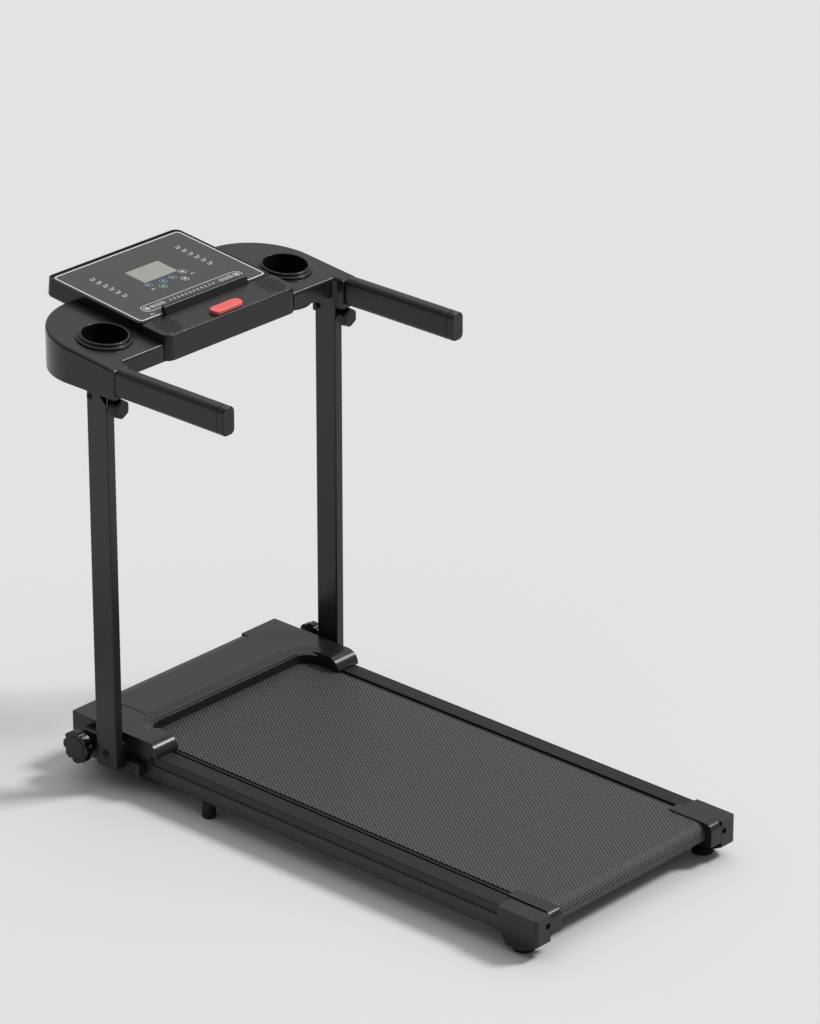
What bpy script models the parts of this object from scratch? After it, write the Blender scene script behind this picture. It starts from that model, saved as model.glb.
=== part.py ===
"""Folding home treadmill, in metres, +Z up.

The user stands on the belt and faces +Y, so +X is the right-hand side.  Every place below is
given from the rear end of the machine (y = 0) and from the floor (z = 0), and one empty then
moves the whole machine so that its origin lies under the middle of its box.
"""
import math

import bmesh
import bpy
from mathutils import Matrix

# ---- driving dimensions -------------------------------------------------------------------
FIT = 0.0003                      # gap left between touching pieces
SIDES = {"left": -1, "right": 1}

ROLLER_Z = 0.065                  # height of both roller axes
REAR_ROLLER_Y = 0.038
FRONT_ROLLER_Y = 1.122
ROLLER_R = 0.0203
ROLLER_HALF = 0.240
AXLE_R = 0.006
BELT_IN = ROLLER_R + FIT
BELT_OUT = 0.0225
BELT_HALF = 0.2365

TUBE_IN, TUBE_OUT = 0.2715, 0.2935          # side tube, across
TUBE_LOW, TUBE_TOP = 0.0345, 0.0675
TUBE_REAR, TUBE_FRONT = 0.0125, 1.200
CAP_OUT = 0.2955
CAP_SPLIT = 0.2536                          # joint line between cap block and belt guard
CAP_LENGTH = 0.0975
TENSION_X = 0.2615                          # belt tension bolts
RAIL_IN, RAIL_OUT, RAIL_TOP = 0.252, 0.2905, 0.0872

HOOD_HALF, HOOD_TOP, HOOD_FRONT = 0.2945, 0.1153, 1.2425
HOOD_WALL = 0.003
ARM_IN, ARM_REAR = 0.2345, 1.003
CROSS_REAR = 1.0935
HOOD_LOW = 0.0355
WHEEL_R = 0.0165                            # transport wheel, standing on the floor

POST_IN, POST_OUT = 0.312, 0.334            # upright tube, across
POST_REAR, POST_FRONT = 1.0796, 1.1357
POST_LOW, POST_TOP = 0.049, 0.8575
POST_MID = (POST_IN + POST_OUT) / 2
PIVOT_Y, PIVOT_Z = 1.109, 0.0775            # lower fold axis
LOCK_Y, LOCK_Z = 1.178, 0.074               # lobed knob
HEAD_PIVOT_Y, HEAD_PIVOT_Z = 1.1265, 0.847  # upper fold axis
HEX_Z = 0.838                               # six-sided knob

FACE_Y, FACE_Z = 1.1415, 0.9525             # rear edge of the sloping display face
TILT = math.atan(0.109)
FACE_HALF = 0.1835
FACE_REAR, FACE_FRONT = -0.011, 0.2595      # along the slope
HEAD_DEPTH = 0.041
LENGTH = FACE_Y + FACE_FRONT * math.cos(TILT) + HEAD_DEPTH * math.sin(TILT)

CASING_IN, CASING_OUT = 0.1842, 0.342
CASING_LOW, CASING_FRONT, CASING_R = 0.862, 1.325, 0.145
CASING_REAR_Z, CASING_SLOPE = 0.926, 0.105
CUP_X, CUP_Y = 0.2545, 1.163
CROSS_TUBE = (1.080, 1.105, 0.884, 0.909)   # y and z limits of the hidden console tube
GRIP_IN, GRIP_OUT, GRIP_LOW, GRIP_TOP = 0.308, 0.341, 0.8675, 0.926
GRIP_REAR, GRIP_FRONT = 0.757, 1.0475

# ---- scene, collections and materials -----------------------------------------------------
for old in list(bpy.data.objects):
    bpy.data.objects.remove(old, do_unlink=True)

parts = bpy.data.collections.new("treadmill")
cutters = bpy.data.collections.new("cutters")
bpy.context.scene.collection.children.link(parts)
bpy.context.scene.collection.children.link(cutters)

FINISHES = {
    "powder_steel": ((0.024, 0.025, 0.027), 0.45, 0.6),
    "bright_steel": ((0.55, 0.55, 0.56), 0.30, 1.0),
    "black_abs": ((0.020, 0.021, 0.023), 0.50, 0.0),
    "ribbed_pvc": ((0.030, 0.031, 0.033), 0.60, 0.0),
    "belt_pvc": ((0.045, 0.046, 0.048), 0.75, 0.0),
    "rubber": ((0.010, 0.010, 0.011), 0.80, 0.0),
    "grip_foam": ((0.022, 0.023, 0.025), 0.70, 0.0),
    "board_mdf": ((0.16, 0.10, 0.055), 0.80, 0.0),
    "panel_gloss": ((0.050, 0.052, 0.056), 0.35, 0.0),
    "display_glass": ((0.42, 0.44, 0.38), 0.15, 0.0),
    "key_red": ((0.62, 0.055, 0.055), 0.40, 0.0),
    "circuit_green": ((0.02, 0.12, 0.05), 0.50, 0.0),
}


def make_material(name):
    colour, roughness, metallic = FINISHES[name]
    made = bpy.data.materials.new(name)
    made.use_nodes = True
    shader = made.node_tree.nodes["Principled BSDF"]
    shader.inputs["Base Color"].default_value = (*colour, 1.0)
    shader.inputs["Roughness"].default_value = roughness
    shader.inputs["Metallic"].default_value = metallic
    return made


# ---- placing and modelling helpers --------------------------------------------------------
def empty(name, place=(0, 0, 0), parent=None, turn_x=0.0):
    made = bpy.data.objects.new(name, None)
    parts.objects.link(made)
    made.location = place
    made.rotation_euler = (turn_x, 0, 0)
    made.parent = parent
    return made


machine = empty("machine", (0, -LENGTH / 2, 0))
display_face = empty("display_face", (0, FACE_Y, FACE_Z), machine, TILT)


def add(name, mesh, finish, place=(0, 0, 0), parent=machine):
    """Put a mesh into the machine as a named piece with its own material."""
    piece = bpy.data.objects.new(name, mesh)
    parts.objects.link(piece)
    piece.location = place
    piece.parent = parent
    mesh.materials.append(make_material(finish))
    return piece


def tool(mesh, parent=machine, place=(0, 0, 0)):
    """A hidden shape that cuts or extends a piece."""
    piece = bpy.data.objects.new("tool", mesh)
    cutters.objects.link(piece)
    piece.location = place
    piece.parent = parent
    piece.hide_render = True
    piece.display_type = "WIRE"
    return piece


def combine(piece, mesh, operation="DIFFERENCE", parent=machine, place=(0, 0, 0)):
    step = piece.modifiers.new(operation.lower(), "BOOLEAN")
    step.operation = operation
    step.solver = "EXACT"
    step.object = tool(mesh, parent, place)


def cut(piece, *meshes):
    for mesh in meshes:
        combine(piece, mesh)


def join(piece, *meshes):
    for mesh in meshes:
        combine(piece, mesh, "UNION")


def soften(piece, width, segments=2, angle=40):
    step = piece.modifiers.new("soft_edges", "BEVEL")
    step.width = width
    step.segments = segments
    step.limit_method = "ANGLE"
    step.angle_limit = math.radians(angle)
    return piece


def smooth(piece, angle=35):
    piece.data.shade_smooth()
    piece.data.set_sharp_from_angle(angle=math.radians(angle))
    return piece


def block(x0, x1, y0, y1, z0, z1):
    """Box mesh between two corners."""
    mesh = bpy.data.meshes.new("block")
    shape = bmesh.new()
    size = Matrix.Diagonal((abs(x1 - x0), abs(y1 - y0), abs(z1 - z0), 1))
    middle = Matrix.Translation(((x0 + x1) / 2, (y0 + y1) / 2, (z0 + z1) / 2))
    bmesh.ops.create_cube(shape, size=1, matrix=middle @ size)
    shape.to_mesh(mesh)
    shape.free()
    return mesh


def rod(axis, centre, radius, start, end, steps=24, end_radius=None):
    """Cylinder or cone mesh along an axis; centre gives its two other coordinates in order."""
    mesh = bpy.data.meshes.new("rod")
    shape = bmesh.new()
    turn = {"X": Matrix.Rotation(math.pi / 2, 4, "Y"), "Y": Matrix.Rotation(-math.pi / 2, 4, "X"),
            "Z": Matrix.Identity(4)}[axis]
    place = list(centre)
    place.insert("XYZ".index(axis), (start + end) / 2)
    bmesh.ops.create_cone(shape, cap_ends=True, segments=steps, radius1=radius,
                          radius2=radius if end_radius is None else end_radius,
                          depth=abs(end - start), matrix=Matrix.Translation(place) @ turn)
    shape.to_mesh(mesh)
    shape.free()
    return mesh


def arc(cx, cy, radius, start, end, steps):
    """Points on an arc, angles in degrees, both ends included."""
    angles = [math.radians(start + (end - start) * i / steps) for i in range(steps + 1)]
    return [(cx + radius * math.cos(a), cy + radius * math.sin(a)) for a in angles]


def prism(axis, outlines, start, end):
    """Flat outline, with any holes, given a thickness along an axis."""
    curve = bpy.data.curves.new("outline", "CURVE")
    curve.dimensions = "2D"
    curve.fill_mode = "BOTH"
    curve.extrude = abs(end - start) / 2
    for outline in outlines:
        line = curve.splines.new("POLY")
        line.points.add(len(outline) - 1)
        for point, (a, b) in zip(line.points, outline):
            point.co = (a, b, 0, 1)
        line.use_cyclic_u = True
    drawn = bpy.data.objects.new("outline", curve)
    cutters.objects.link(drawn)
    bpy.context.view_layer.update()
    mesh = bpy.data.meshes.new_from_object(drawn.evaluated_get(bpy.context.evaluated_depsgraph_get()))
    bpy.data.objects.remove(drawn, do_unlink=True)
    shape = bmesh.new()
    shape.from_mesh(mesh)
    bmesh.ops.remove_doubles(shape, verts=shape.verts, dist=0.00001)
    columns = {"X": ((0, 0, 1), (1, 0, 0), (0, 1, 0)), "Y": ((1, 0, 0), (0, 0, 1), (0, 1, 0)),
               "Z": ((1, 0, 0), (0, 1, 0), (0, 0, 1))}[axis]
    shape.transform(Matrix.Translation([(start + end) / 2 * (axis == name) for name in "XYZ"])
                    @ Matrix(columns).to_4x4())
    bmesh.ops.recalc_face_normals(shape, faces=shape.faces)
    if shape.calc_volume(signed=True) < 0:
        bmesh.ops.reverse_faces(shape, faces=shape.faces)
    shape.to_mesh(mesh)
    shape.free()
    return mesh


def add_turned(name, profile, finish, place, parent=machine, steps=20, axis="Z"):
    """Piece turned about Z from a closed profile of (radius, height), down its outer side."""
    mesh = bpy.data.meshes.new("profile")
    loop = [(i, (i + 1) % len(profile)) for i in range(len(profile))]
    edges = [(i, j) for i, j in loop if profile[i][0] > 0 or profile[j][0] > 0]
    mesh.from_pydata([(r, 0, h) for r, h in profile], edges, [])
    piece = add(name, mesh, finish, place, parent)
    piece.rotation_euler = {"Z": (0, 0, 0), "X": (0, math.pi / 2, 0), "Y": (-math.pi / 2, 0, 0)}[axis]
    spin = piece.modifiers.new("turn", "SCREW")
    spin.axis = "Z"
    spin.steps = steps
    spin.render_steps = steps
    spin.use_merge_vertices = True
    spin.merge_threshold = 0.0001
    return smooth(piece)


def span(side, low, high):
    """X limits of a shape on one side of the machine."""
    return sorted((side * low, side * high))


def rounded(a0, a1, b0, b1, radius, steps=2):
    """Outline of a rectangle with round corners."""
    corners = ((a1, b0, -90), (a1, b1, 0), (a0, b1, 90), (a0, b0, 180))
    points = []
    for a, b, start in corners:
        centre_a = a - radius if a == a1 else a + radius
        centre_b = b - radius if b == b1 else b + radius
        points += arc(centre_a, centre_b, radius, start, start + 90, steps)
    return points


# ---- frame --------------------------------------------------------------------------------
def frame_rails():
    """Steel side tubes, each with the welded block that carries its upright."""
    for name, s in SIDES.items():
        x0, x1 = span(s, TUBE_IN, TUBE_OUT)
        outer = rounded(x0, x1, TUBE_LOW, TUBE_TOP, 0.003)
        inner = rounded(x0 + 0.002, x1 - 0.002, TUBE_LOW + 0.002, TUBE_TOP - 0.002, 0.0015)
        rail = add("frame_rail_" + name, prism("Y", [outer, inner], TUBE_REAR, TUBE_FRONT),
                   "powder_steel")
        carrier = (arc(1.189, 0.048, 0.008, -90, 0, 2) + arc(1.189, 0.092, 0.008, 0, 90, 2)
                   + arc(1.092, 0.092, 0.008, 90, 180, 2) + [(1.084, 0.0668)]
                   + arc(1.0435, 0.0608, 0.006, 90, 180, 2) + arc(1.0435, 0.046, 0.006, 180, 270, 2))
        join(rail, prism("X", [carrier], *span(s, HOOD_HALF + 0.0005, POST_IN - 0.0005)),
             block(*span(s, TUBE_OUT - 0.0015, HOOD_HALF + 0.0010), 1.046, 1.190, 0.042, 0.066))
        for y in (REAR_ROLLER_Y, FRONT_ROLLER_Y):
            cut(rail, block(*span(s, 0.26, 0.2925), y - 0.0066, y + 0.0066, 0.0585, 0.075))
        cut(rail, rod("X", (PIVOT_Y, PIVOT_Z), 0.0042, *span(s, 0.296, 0.33), steps=16),
            rod("X", (LOCK_Y, LOCK_Z), 0.0043, *span(s, 0.298, 0.33), steps=16))


def crossbars():
    for name, rear in (("rear_crossbar", 0.120), ("middle_crossbar", 0.570)):
        outer = rounded(rear, rear + 0.030, 0.0475, TUBE_TOP, 0.003)
        inner = rounded(rear + 0.002, rear + 0.028, 0.0495, TUBE_TOP - 0.002, 0.0015)
        add(name, prism("X", [outer, inner], -TUBE_IN + FIT, TUBE_IN - FIT), "powder_steel")
    plate = add("front_crossbar", block(-TUBE_IN + FIT, TUBE_IN - FIT, 1.150, 1.200, 0.0360, 0.0440),
                "powder_steel")
    for s in SIDES.values():
        for inner in (0.2065, 0.2435):
            join(plate, block(*span(s, inner, inner + 0.004), 1.178, 1.199, 0.0095, 0.0380))
        join(plate, rod("X", (1.1885, WHEEL_R), 0.004, *span(s, 0.2075, 0.2465), steps=16))


def running_surface():
    add("running_deck", block(-0.245, 0.245, 0.075, 1.085, TUBE_TOP + FIT, 0.0852), "board_mdf")

    def loop(radius):
        rear = arc(REAR_ROLLER_Y, ROLLER_Z, radius, 90, 270, 16)
        front = arc(FRONT_ROLLER_Y, ROLLER_Z, radius, -90, 90, 16)
        return rear + front

    belt = add("running_belt", prism("X", [loop(BELT_OUT), loop(BELT_IN)], -BELT_HALF, BELT_HALF),
               "belt_pvc")
    smooth(belt)
    for name, s in SIDES.items():
        top, low = RAIL_TOP, TUBE_TOP + FIT
        section = [(RAIL_IN, low), (RAIL_IN + 0.0025, low), (RAIL_IN + 0.0025, top - 0.003),
                   (RAIL_OUT - 0.0025, top - 0.003), (RAIL_OUT - 0.0025, low), (RAIL_OUT, low)]
        section += arc(RAIL_OUT - 0.004, top - 0.004, 0.004, 0, 90, 3)
        section += arc(RAIL_IN + 0.002, top - 0.002, 0.002, 90, 180, 2)
        section = [(s * x, z) for x, z in section]
        add("foot_rail_" + name, prism("Y", [section], CAP_LENGTH + 0.0005, 1.090), "ribbed_pvc")


def rollers():
    for place, y in (("rear", REAR_ROLLER_Y), ("front", FRONT_ROLLER_Y)):
        bore = AXLE_R + FIT
        profile = [(bore, ROLLER_HALF), (ROLLER_R - 0.001, ROLLER_HALF),
                   (ROLLER_R, ROLLER_HALF - 0.001), (ROLLER_R, -ROLLER_HALF + 0.001),
                   (ROLLER_R - 0.001, -ROLLER_HALF), (bore, -ROLLER_HALF)]
        add_turned(place + "_roller", profile, "bright_steel", (0, y, ROLLER_Z), axis="X")
        axle = add(place + "_axle", rod("X", (y, ROLLER_Z), AXLE_R, -0.287, 0.287), "bright_steel")
        if place == "rear":
            for s in SIDES.values():
                cut(axle, rod("Y", (s * TENSION_X, ROLLER_Z), 0.0036, 0.02, 0.06, steps=12))
        smooth(axle)


def tension_bolts():
    """Hex-socket screws that pull the rear axle back and so tighten and steer the belt."""
    for name, s in SIDES.items():
        profile = [(0.0055, 0.0055), (0.0055, 0.0), (0.0032, 0.0), (0.0032, -0.044), (0, -0.044),
                   (0, 0.002), (0.0022, 0.002), (0.0022, 0.0055)]
        bolt = add_turned("tension_bolt_" + name, profile, "bright_steel",
                          (s * TENSION_X, 0.0085, ROLLER_Z), steps=16)
        bolt.rotation_euler = (math.pi / 2, 0, 0)


def end_caps():
    """Corner mouldings: a block round the tube end, and a guard that wraps the belt edge."""
    block_outline = [(0.0, 0.031), (0.020, 0.021), (0.042, 0.0145), (0.064, 0.0118),
                     (0.0764, 0.0135), (0.0892, 0.0345), (CAP_LENGTH, 0.0735),
                     (CAP_LENGTH, 0.0877), (0.004, 0.0877), (0.0, 0.0837)]
    guard = [(0.0, 0.0417), (0.0145, 0.0417), (0.0148, ROLLER_Z)]
    guard += arc(REAR_ROLLER_Y, ROLLER_Z, 0.0232, 170, 90, 6)
    guard += [(0.106, ROLLER_Z + 0.0232), (0.109, 0.0905)]
    guard += arc(0.018, 0.0725, 0.018, 90, 180, 6)
    for name, s in SIDES.items():
        cap = add("end_cap_" + name, prism("X", [block_outline], *span(s, CAP_SPLIT, CAP_OUT)),
                  "black_abs")
        join(cap, prism("X", [guard], *span(s, 0.222, CAP_SPLIT + 0.0004)))
        cut(cap, block(*span(s, TUBE_IN - 0.0006, TUBE_OUT + FIT), TUBE_REAR - 0.0005, 0.12,
                       TUBE_LOW - FIT, TUBE_TOP + FIT),
            block(*span(s, 0.250, 0.2880), REAR_ROLLER_Y - 0.0066, REAR_ROLLER_Y + 0.0066,
                  0.055, 0.0755),
            rod("Y", (s * TENSION_X, ROLLER_Z), 0.0037, -0.01, 0.0545, steps=12),
            rod("Y", (s * TENSION_X, ROLLER_Z), 0.0062, -0.01, 0.0088, steps=16),
            rod("Z", (s * 0.265, 0.056), 0.0043, 0.0, 0.031, steps=12))


def feet():
    for name, s in SIDES.items():
        profile = [(0.004, 0.030), (0.004, 0.0112), (0.0205, 0.0112), (0.022, 0.0098),
                   (0.022, 0.0015), (0.0205, 0.0), (0, 0.0), (0, 0.030)]
        add_turned("levelling_foot_" + name, profile, "rubber", (s * 0.265, 0.056, 0), steps=24)
        taper = [(0.013, TUBE_LOW - FIT), (0.0150, 0.002), (0.0135, 0.0), (0, 0.0),
                 (0, TUBE_LOW - FIT)]
        add_turned("front_foot_" + name, taper, "rubber", (s * 0.2825, 0.871, 0), steps=24)


def transport_wheels():
    for name, s in SIDES.items():
        profile = [(0.0043, 0.0155), (WHEEL_R - 0.0015, 0.0155), (WHEEL_R, 0.0140),
                   (WHEEL_R, -0.0140), (WHEEL_R - 0.0015, -0.0155), (0.0043, -0.0155)]
        add_turned("transport_wheel_" + name, profile, "black_abs", (s * 0.227, 1.1885, WHEEL_R),
                   steps=24, axis="X")


# ---- motor bay ----------------------------------------------------------------------------
def motor_hood():
    low_side = TUBE_TOP + 0.0015
    cross = [(CROSS_REAR, low_side), (CROSS_REAR, 0.094), (1.1000, 0.1055), (1.1220, HOOD_TOP),
             (HOOD_FRONT - 0.003, HOOD_TOP), (HOOD_FRONT, HOOD_TOP - 0.003), (HOOD_FRONT, HOOD_LOW),
             (1.2075, HOOD_LOW), (1.2075, low_side)]
    hood = add("motor_hood", prism("X", [cross], -HOOD_HALF, HOOD_HALF), "black_abs")
    nose = [(ARM_REAR, low_side)]
    nose += arc(ARM_REAR + 0.028, HOOD_TOP - 0.028, 0.028, 180, 90, 8)
    nose += [(1.130, HOOD_TOP), (1.130, low_side)]
    corner_r = 0.034
    for s in SIDES.values():
        join(hood, prism("X", [nose], *span(s, ARM_IN, HOOD_HALF)))
        fillet = [(s * x, y) for x, y in
                  [(ARM_IN + 0.002, 1.130), (ARM_IN - corner_r, 1.130)]
                  + arc(ARM_IN - corner_r, 1.100 - corner_r, corner_r, 90, 0, 6)
                  + [(ARM_IN + 0.002, 1.100 - corner_r)]]
        join(hood, prism("Z", [fillet], RAIL_TOP + 0.0008, 0.1055))
    wall = HOOD_WALL
    room = [(CROSS_REAR + wall, 0.020), (CROSS_REAR + wall, 0.0934), (1.1021, 0.1030),
            (1.1228, HOOD_TOP - wall), (1.2335, HOOD_TOP - wall), (1.2335, 0.020)]
    cut(hood,
        prism("X", [room], -HOOD_HALF + wall, HOOD_HALF - wall),
        block(-0.2920, 0.2920, 0.99, 1.2074, 0.02, RAIL_TOP + 0.0008),
        block(-0.195, 0.195, 1.2365, 1.26, 0.02, 0.13),
        block(*POWER_SWITCH_HOLE), block(*POWER_INLET_HOLE))
    for s in SIDES.values():
        cut(hood, block(*span(s, ARM_IN + wall, HOOD_HALF - wall), ARM_REAR + 0.010, 1.12, 0.08, 0.100),
            block(*span(s, ARM_IN + wall, HOOD_HALF - wall), ARM_REAR + 0.024, 1.12, 0.09,
                  HOOD_TOP - wall))


POWER_SWITCH_HOLE = (-0.1770, -0.1520, 1.22, 1.25, 0.0475, 0.0645)
POWER_INLET_HOLE = (-0.1360, -0.1060, 1.22, 1.25, 0.0455, 0.0665)


def power_entry():
    x0, x1, _, _, z0, z1 = POWER_INLET_HOLE
    inlet = add("power_inlet", block(x0 + FIT, x1 - FIT, 1.2100, 1.2385, z0 + FIT, z1 - FIT),
                "black_abs")
    cut(inlet, block(x0 + 0.0035, x1 - 0.0035, 1.220, 1.25, z0 + 0.0030, z1 - 0.0030))
    x0, x1, _, _, z0, z1 = POWER_SWITCH_HOLE
    middle = (z0 + z1) / 2
    rocker = [(1.2260, z0 + 0.0022), (1.2375, z0 + 0.0012), (1.2365, middle), (1.2400, z1 - 0.0022),
              (1.2260, z1 - 0.0022)]
    place = ((x0 + x1) / 2, 1.2330, middle)
    outline = [(y - place[1], z - place[2]) for y, z in rocker]
    add("power_switch", prism("X", [outline], x0 + 0.0012 - place[0], x1 - 0.0012 - place[0]),
        "key_red", place)


def bottom_pan():
    """Shallow tray that closes the motor bay from below."""
    outer = rounded(-0.2900, 0.2900, 1.000, 1.168, 0.020, 4)
    inner = rounded(-0.2875, 0.2875, 1.0025, 1.1655, 0.0175, 4)
    pan = add("bottom_pan", prism("Z", [outer], 0.0265, TUBE_LOW - 0.0008), "black_abs")
    cut(pan, prism("Z", [inner], 0.0290, 0.05))


def drive():
    motor_y, motor_z = 1.1995, 0.0785
    motor = add("drive_motor", rod("X", (motor_y, motor_z), 0.0305, 0.060, 0.225, steps=28),
                "powder_steel")
    join(motor, rod("X", (motor_y, motor_z), 0.013, 0.2245, 0.2310, steps=16),
         block(0.090, 0.190, 1.1820, 1.1990, 0.0443, 0.0560))
    cut(motor, rod("X", (motor_y, motor_z), 0.0043, 0.215, 0.24, steps=12))
    smooth(motor)
    pulley = [(0.013, 0.0095), (0.013, -0.0095), (0.004, -0.0095), (0.004, -0.0340),
              (0, -0.0340), (0, 0.0095)]
    add_turned("motor_pulley", pulley, "bright_steel", (0.2530, motor_y, motor_z), steps=24, axis="X")
    driven = [(AXLE_R + FIT, 0.0095), (0.024, 0.0095), (0.024, -0.0095), (AXLE_R + FIT, -0.0095)]
    add_turned("front_pulley", driven, "black_abs", (0.2530, FRONT_ROLLER_Y, ROLLER_Z),
               steps=28, axis="X")

    lean = math.degrees(math.atan2(motor_z - ROLLER_Z, motor_y - FRONT_ROLLER_Y))
    reach = math.hypot(motor_y - FRONT_ROLLER_Y, motor_z - ROLLER_Z)

    def loop(extra):
        big, small = 0.024 + extra, 0.013 + extra
        open_angle = math.degrees(math.acos((big - small) / reach))
        return (arc(FRONT_ROLLER_Y, ROLLER_Z, big, lean + open_angle, lean + 360 - open_angle, 14)
                + arc(motor_y, motor_z, small, lean - open_angle, lean + open_angle, 8))

    smooth(add("drive_belt", prism("X", [loop(0.0028), loop(FIT)], 0.2450, 0.2610), "rubber"))
    board = add("control_board", block(-0.235, -0.045, 1.156, 1.209, 0.0480, 0.0500),
                "circuit_green")
    join(board, block(-0.215, -0.135, 1.160, 1.172, 0.0495, 0.0780),
         rod("Z", (-0.100, 1.180), 0.012, 0.0495, 0.0800, steps=16),
         block(-0.190, -0.180, 1.176, 1.200, 0.0442, 0.0485),
         block(-0.080, -0.070, 1.176, 1.200, 0.0442, 0.0485))


# ---- folding uprights ---------------------------------------------------------------------
def uprights():
    for name, s in SIDES.items():
        x0, x1 = span(s, POST_IN, POST_OUT)
        post = add("upright_" + name,
                   prism("Z", [rounded(x0, x1, POST_REAR, POST_FRONT, 0.004),
                               rounded(x0 + 0.0021, x1 - 0.0021, POST_REAR + 0.0021,
                                       POST_FRONT - 0.0021, 0.0019)], POST_LOW, POST_TOP),
                   "powder_steel")
        join(post, prism("X", [rounded(POST_FRONT - 0.0015, 1.2000, 0.0590, 0.1010, 0.006)],
                         *span(s, POST_IN + FIT, POST_IN + 0.0053)))
        chamfer = [(POST_REAR - 0.01, POST_TOP - 0.020), (POST_REAR + 0.020, POST_TOP + 0.01),
                   (POST_REAR - 0.01, POST_TOP + 0.01)]
        cut(post, prism("X", [chamfer], *span(s, 0.30, 0.35)),
            block(*span(s, 0.30, 0.325), LOCK_Y - 0.0060, LOCK_Y + 0.0060, 0.03, LOCK_Z),
            rod("X", (LOCK_Y, LOCK_Z), 0.0064, *span(s, 0.299, 0.326), steps=16),
            rod("X", (PIVOT_Y, PIVOT_Z), 0.0043, *span(s, 0.30, 0.35), steps=16),
            rod("X", (HEAD_PIVOT_Y, HEAD_PIVOT_Z), 0.0035, *span(s, 0.30, 0.35), steps=16),
            rod("Y", (s * POST_MID, HEX_Z), 0.0043, 1.06, 1.10, steps=16))


def fold_bolts():
    """Shoulder bolts on the two fold axes, turned about X with their heads outside."""
    for name, s in SIDES.items():
        low = [(0.0085, 0.0045), (0.0085, 0.0), (0.0040, 0.0), (0.0040, -0.0375), (0, -0.0375),
               (0, 0.0020), (0.0035, 0.0020), (0.0035, 0.0045)]
        bolt = add_turned("pivot_bolt_" + name, low, "bright_steel",
                          (s * (POST_OUT + FIT), PIVOT_Y, PIVOT_Z), steps=12)
        bolt.rotation_euler = (0, s * math.pi / 2, 0)
        high = [(0.0065, 0.0040), (0.0065, 0.0), (0.0032, 0.0), (0.0032, -0.0262),
                (0.0060, -0.0262), (0.0060, -0.0315), (0, -0.0315), (0, 0.0018), (0.0028, 0.0018),
                (0.0028, 0.0040)]
        bolt = add_turned("console_bolt_" + name, high, "bright_steel",
                          (s * (POST_OUT + FIT), HEAD_PIVOT_Y, HEAD_PIVOT_Z), steps=12)
        bolt.rotation_euler = (0, s * math.pi / 2, 0)


def star(lobes, outer, inner, steps):
    """Outline of a knob with round lobes."""
    points = []
    for i in range(lobes * steps):
        angle = 2 * math.pi * i / (lobes * steps)
        radius = (outer + inner) / 2 + (outer - inner) / 2 * math.cos(lobes * angle)
        points.append((radius * math.cos(angle), radius * math.sin(angle)))
    return points


def knobs():
    for name, s in SIDES.items():
        place = (s * 0.3180, LOCK_Y, LOCK_Z)
        lock = add("lock_knob_" + name,
                   prism("X", [star(8, 0.0345, 0.0310, 5)], *span(s, 0.0170, 0.0345)),
                   "black_abs", place)
        for mesh in (rod("X", (0, 0), 0.0130, *span(s, 0.0, 0.0175)),
                     rod("X", (0, 0), 0.0040, *span(s, -0.0190, 0.0010), steps=16)):
            combine(lock, mesh, "UNION", machine, place)
        smooth(lock)
        place = (s * POST_MID, 1.0750, HEX_Z)
        console = add("console_knob_" + name,
                      prism("Y", [star(6, 0.0230, 0.0200, 4)], -0.0290, -0.0100), "black_abs", place)
        for mesh in (rod("Y", (0, 0), 0.0100, -0.0105, -0.0004),
                     rod("Y", (0, 0), 0.0040, -0.0010, 0.0200, steps=16)):
            combine(console, mesh, "UNION", machine, place)
        smooth(console)


# ---- console ------------------------------------------------------------------------------
def console_frame():
    """Hidden welded tube with the two flat-oval handle bars, and the hinge brackets."""
    y0, y1, z0, z1 = CROSS_TUBE
    frame = add("handlebar_frame", block(-0.325, 0.325, y0, y1, z0, z1), "powder_steel")
    for s in SIDES.values():
        bar = rounded(*span(s, 0.3145, 0.3345), 0.8740, 0.9200, 0.0090)
        join(frame, prism("Y", [bar], GRIP_REAR + 0.0165, y1 + 0.004))
    for name, s in SIDES.items():
        plate = [(1.0755, 0.836), (1.1375, 0.836), (1.1375, 0.8735), (1.0755, 0.8735)]
        bracket = add("console_bracket_" + name,
                      prism("X", [plate], *span(s, POST_IN - 0.0035, POST_IN - 0.0005)),
                      "powder_steel")
        join(bracket, block(*span(s, POST_IN - 0.0035, POST_OUT), 1.0755, 1.0792, 0.836, 0.8735),
             block(*span(s, POST_IN - 0.0035, POST_OUT), 1.0755, 1.1375, 0.8705, 0.8735))
        nick = [(1.0700, 0.8300), (1.0772, 0.8300), (1.0752, 0.8480), (1.0700, 0.8480)]
        cut(bracket, prism("X", [nick], *span(s, 0.30, 0.34)),
            block(s * POST_MID - 0.0043, s * POST_MID + 0.0043, 1.07, 1.0795, 0.82, HEX_Z),
            rod("Y", (s * POST_MID, HEX_Z), 0.0046, 1.069, 1.0797, steps=16),
            rod("X", (HEAD_PIVOT_Y, HEAD_PIVOT_Z), 0.0036, *span(s, 0.30, 0.3119), steps=16))


def grips():
    for name, s in SIDES.items():
        outer = rounded(*span(s, GRIP_IN, GRIP_OUT), GRIP_LOW, GRIP_TOP, 0.0120, 3)
        hole = rounded(*span(s, 0.3142, 0.3348), 0.8737, 0.9203, 0.0092, 3)
        smooth(add("grip_" + name, prism("Y", [outer, hole], GRIP_REAR + 0.0160, GRIP_FRONT),
                   "grip_foam"))
        cap = add("grip_cap_" + name, prism("Y", [outer], GRIP_REAR, GRIP_REAR + 0.0157),
                  "black_abs")
        soften(cap, 0.003, 1, 60)


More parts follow.
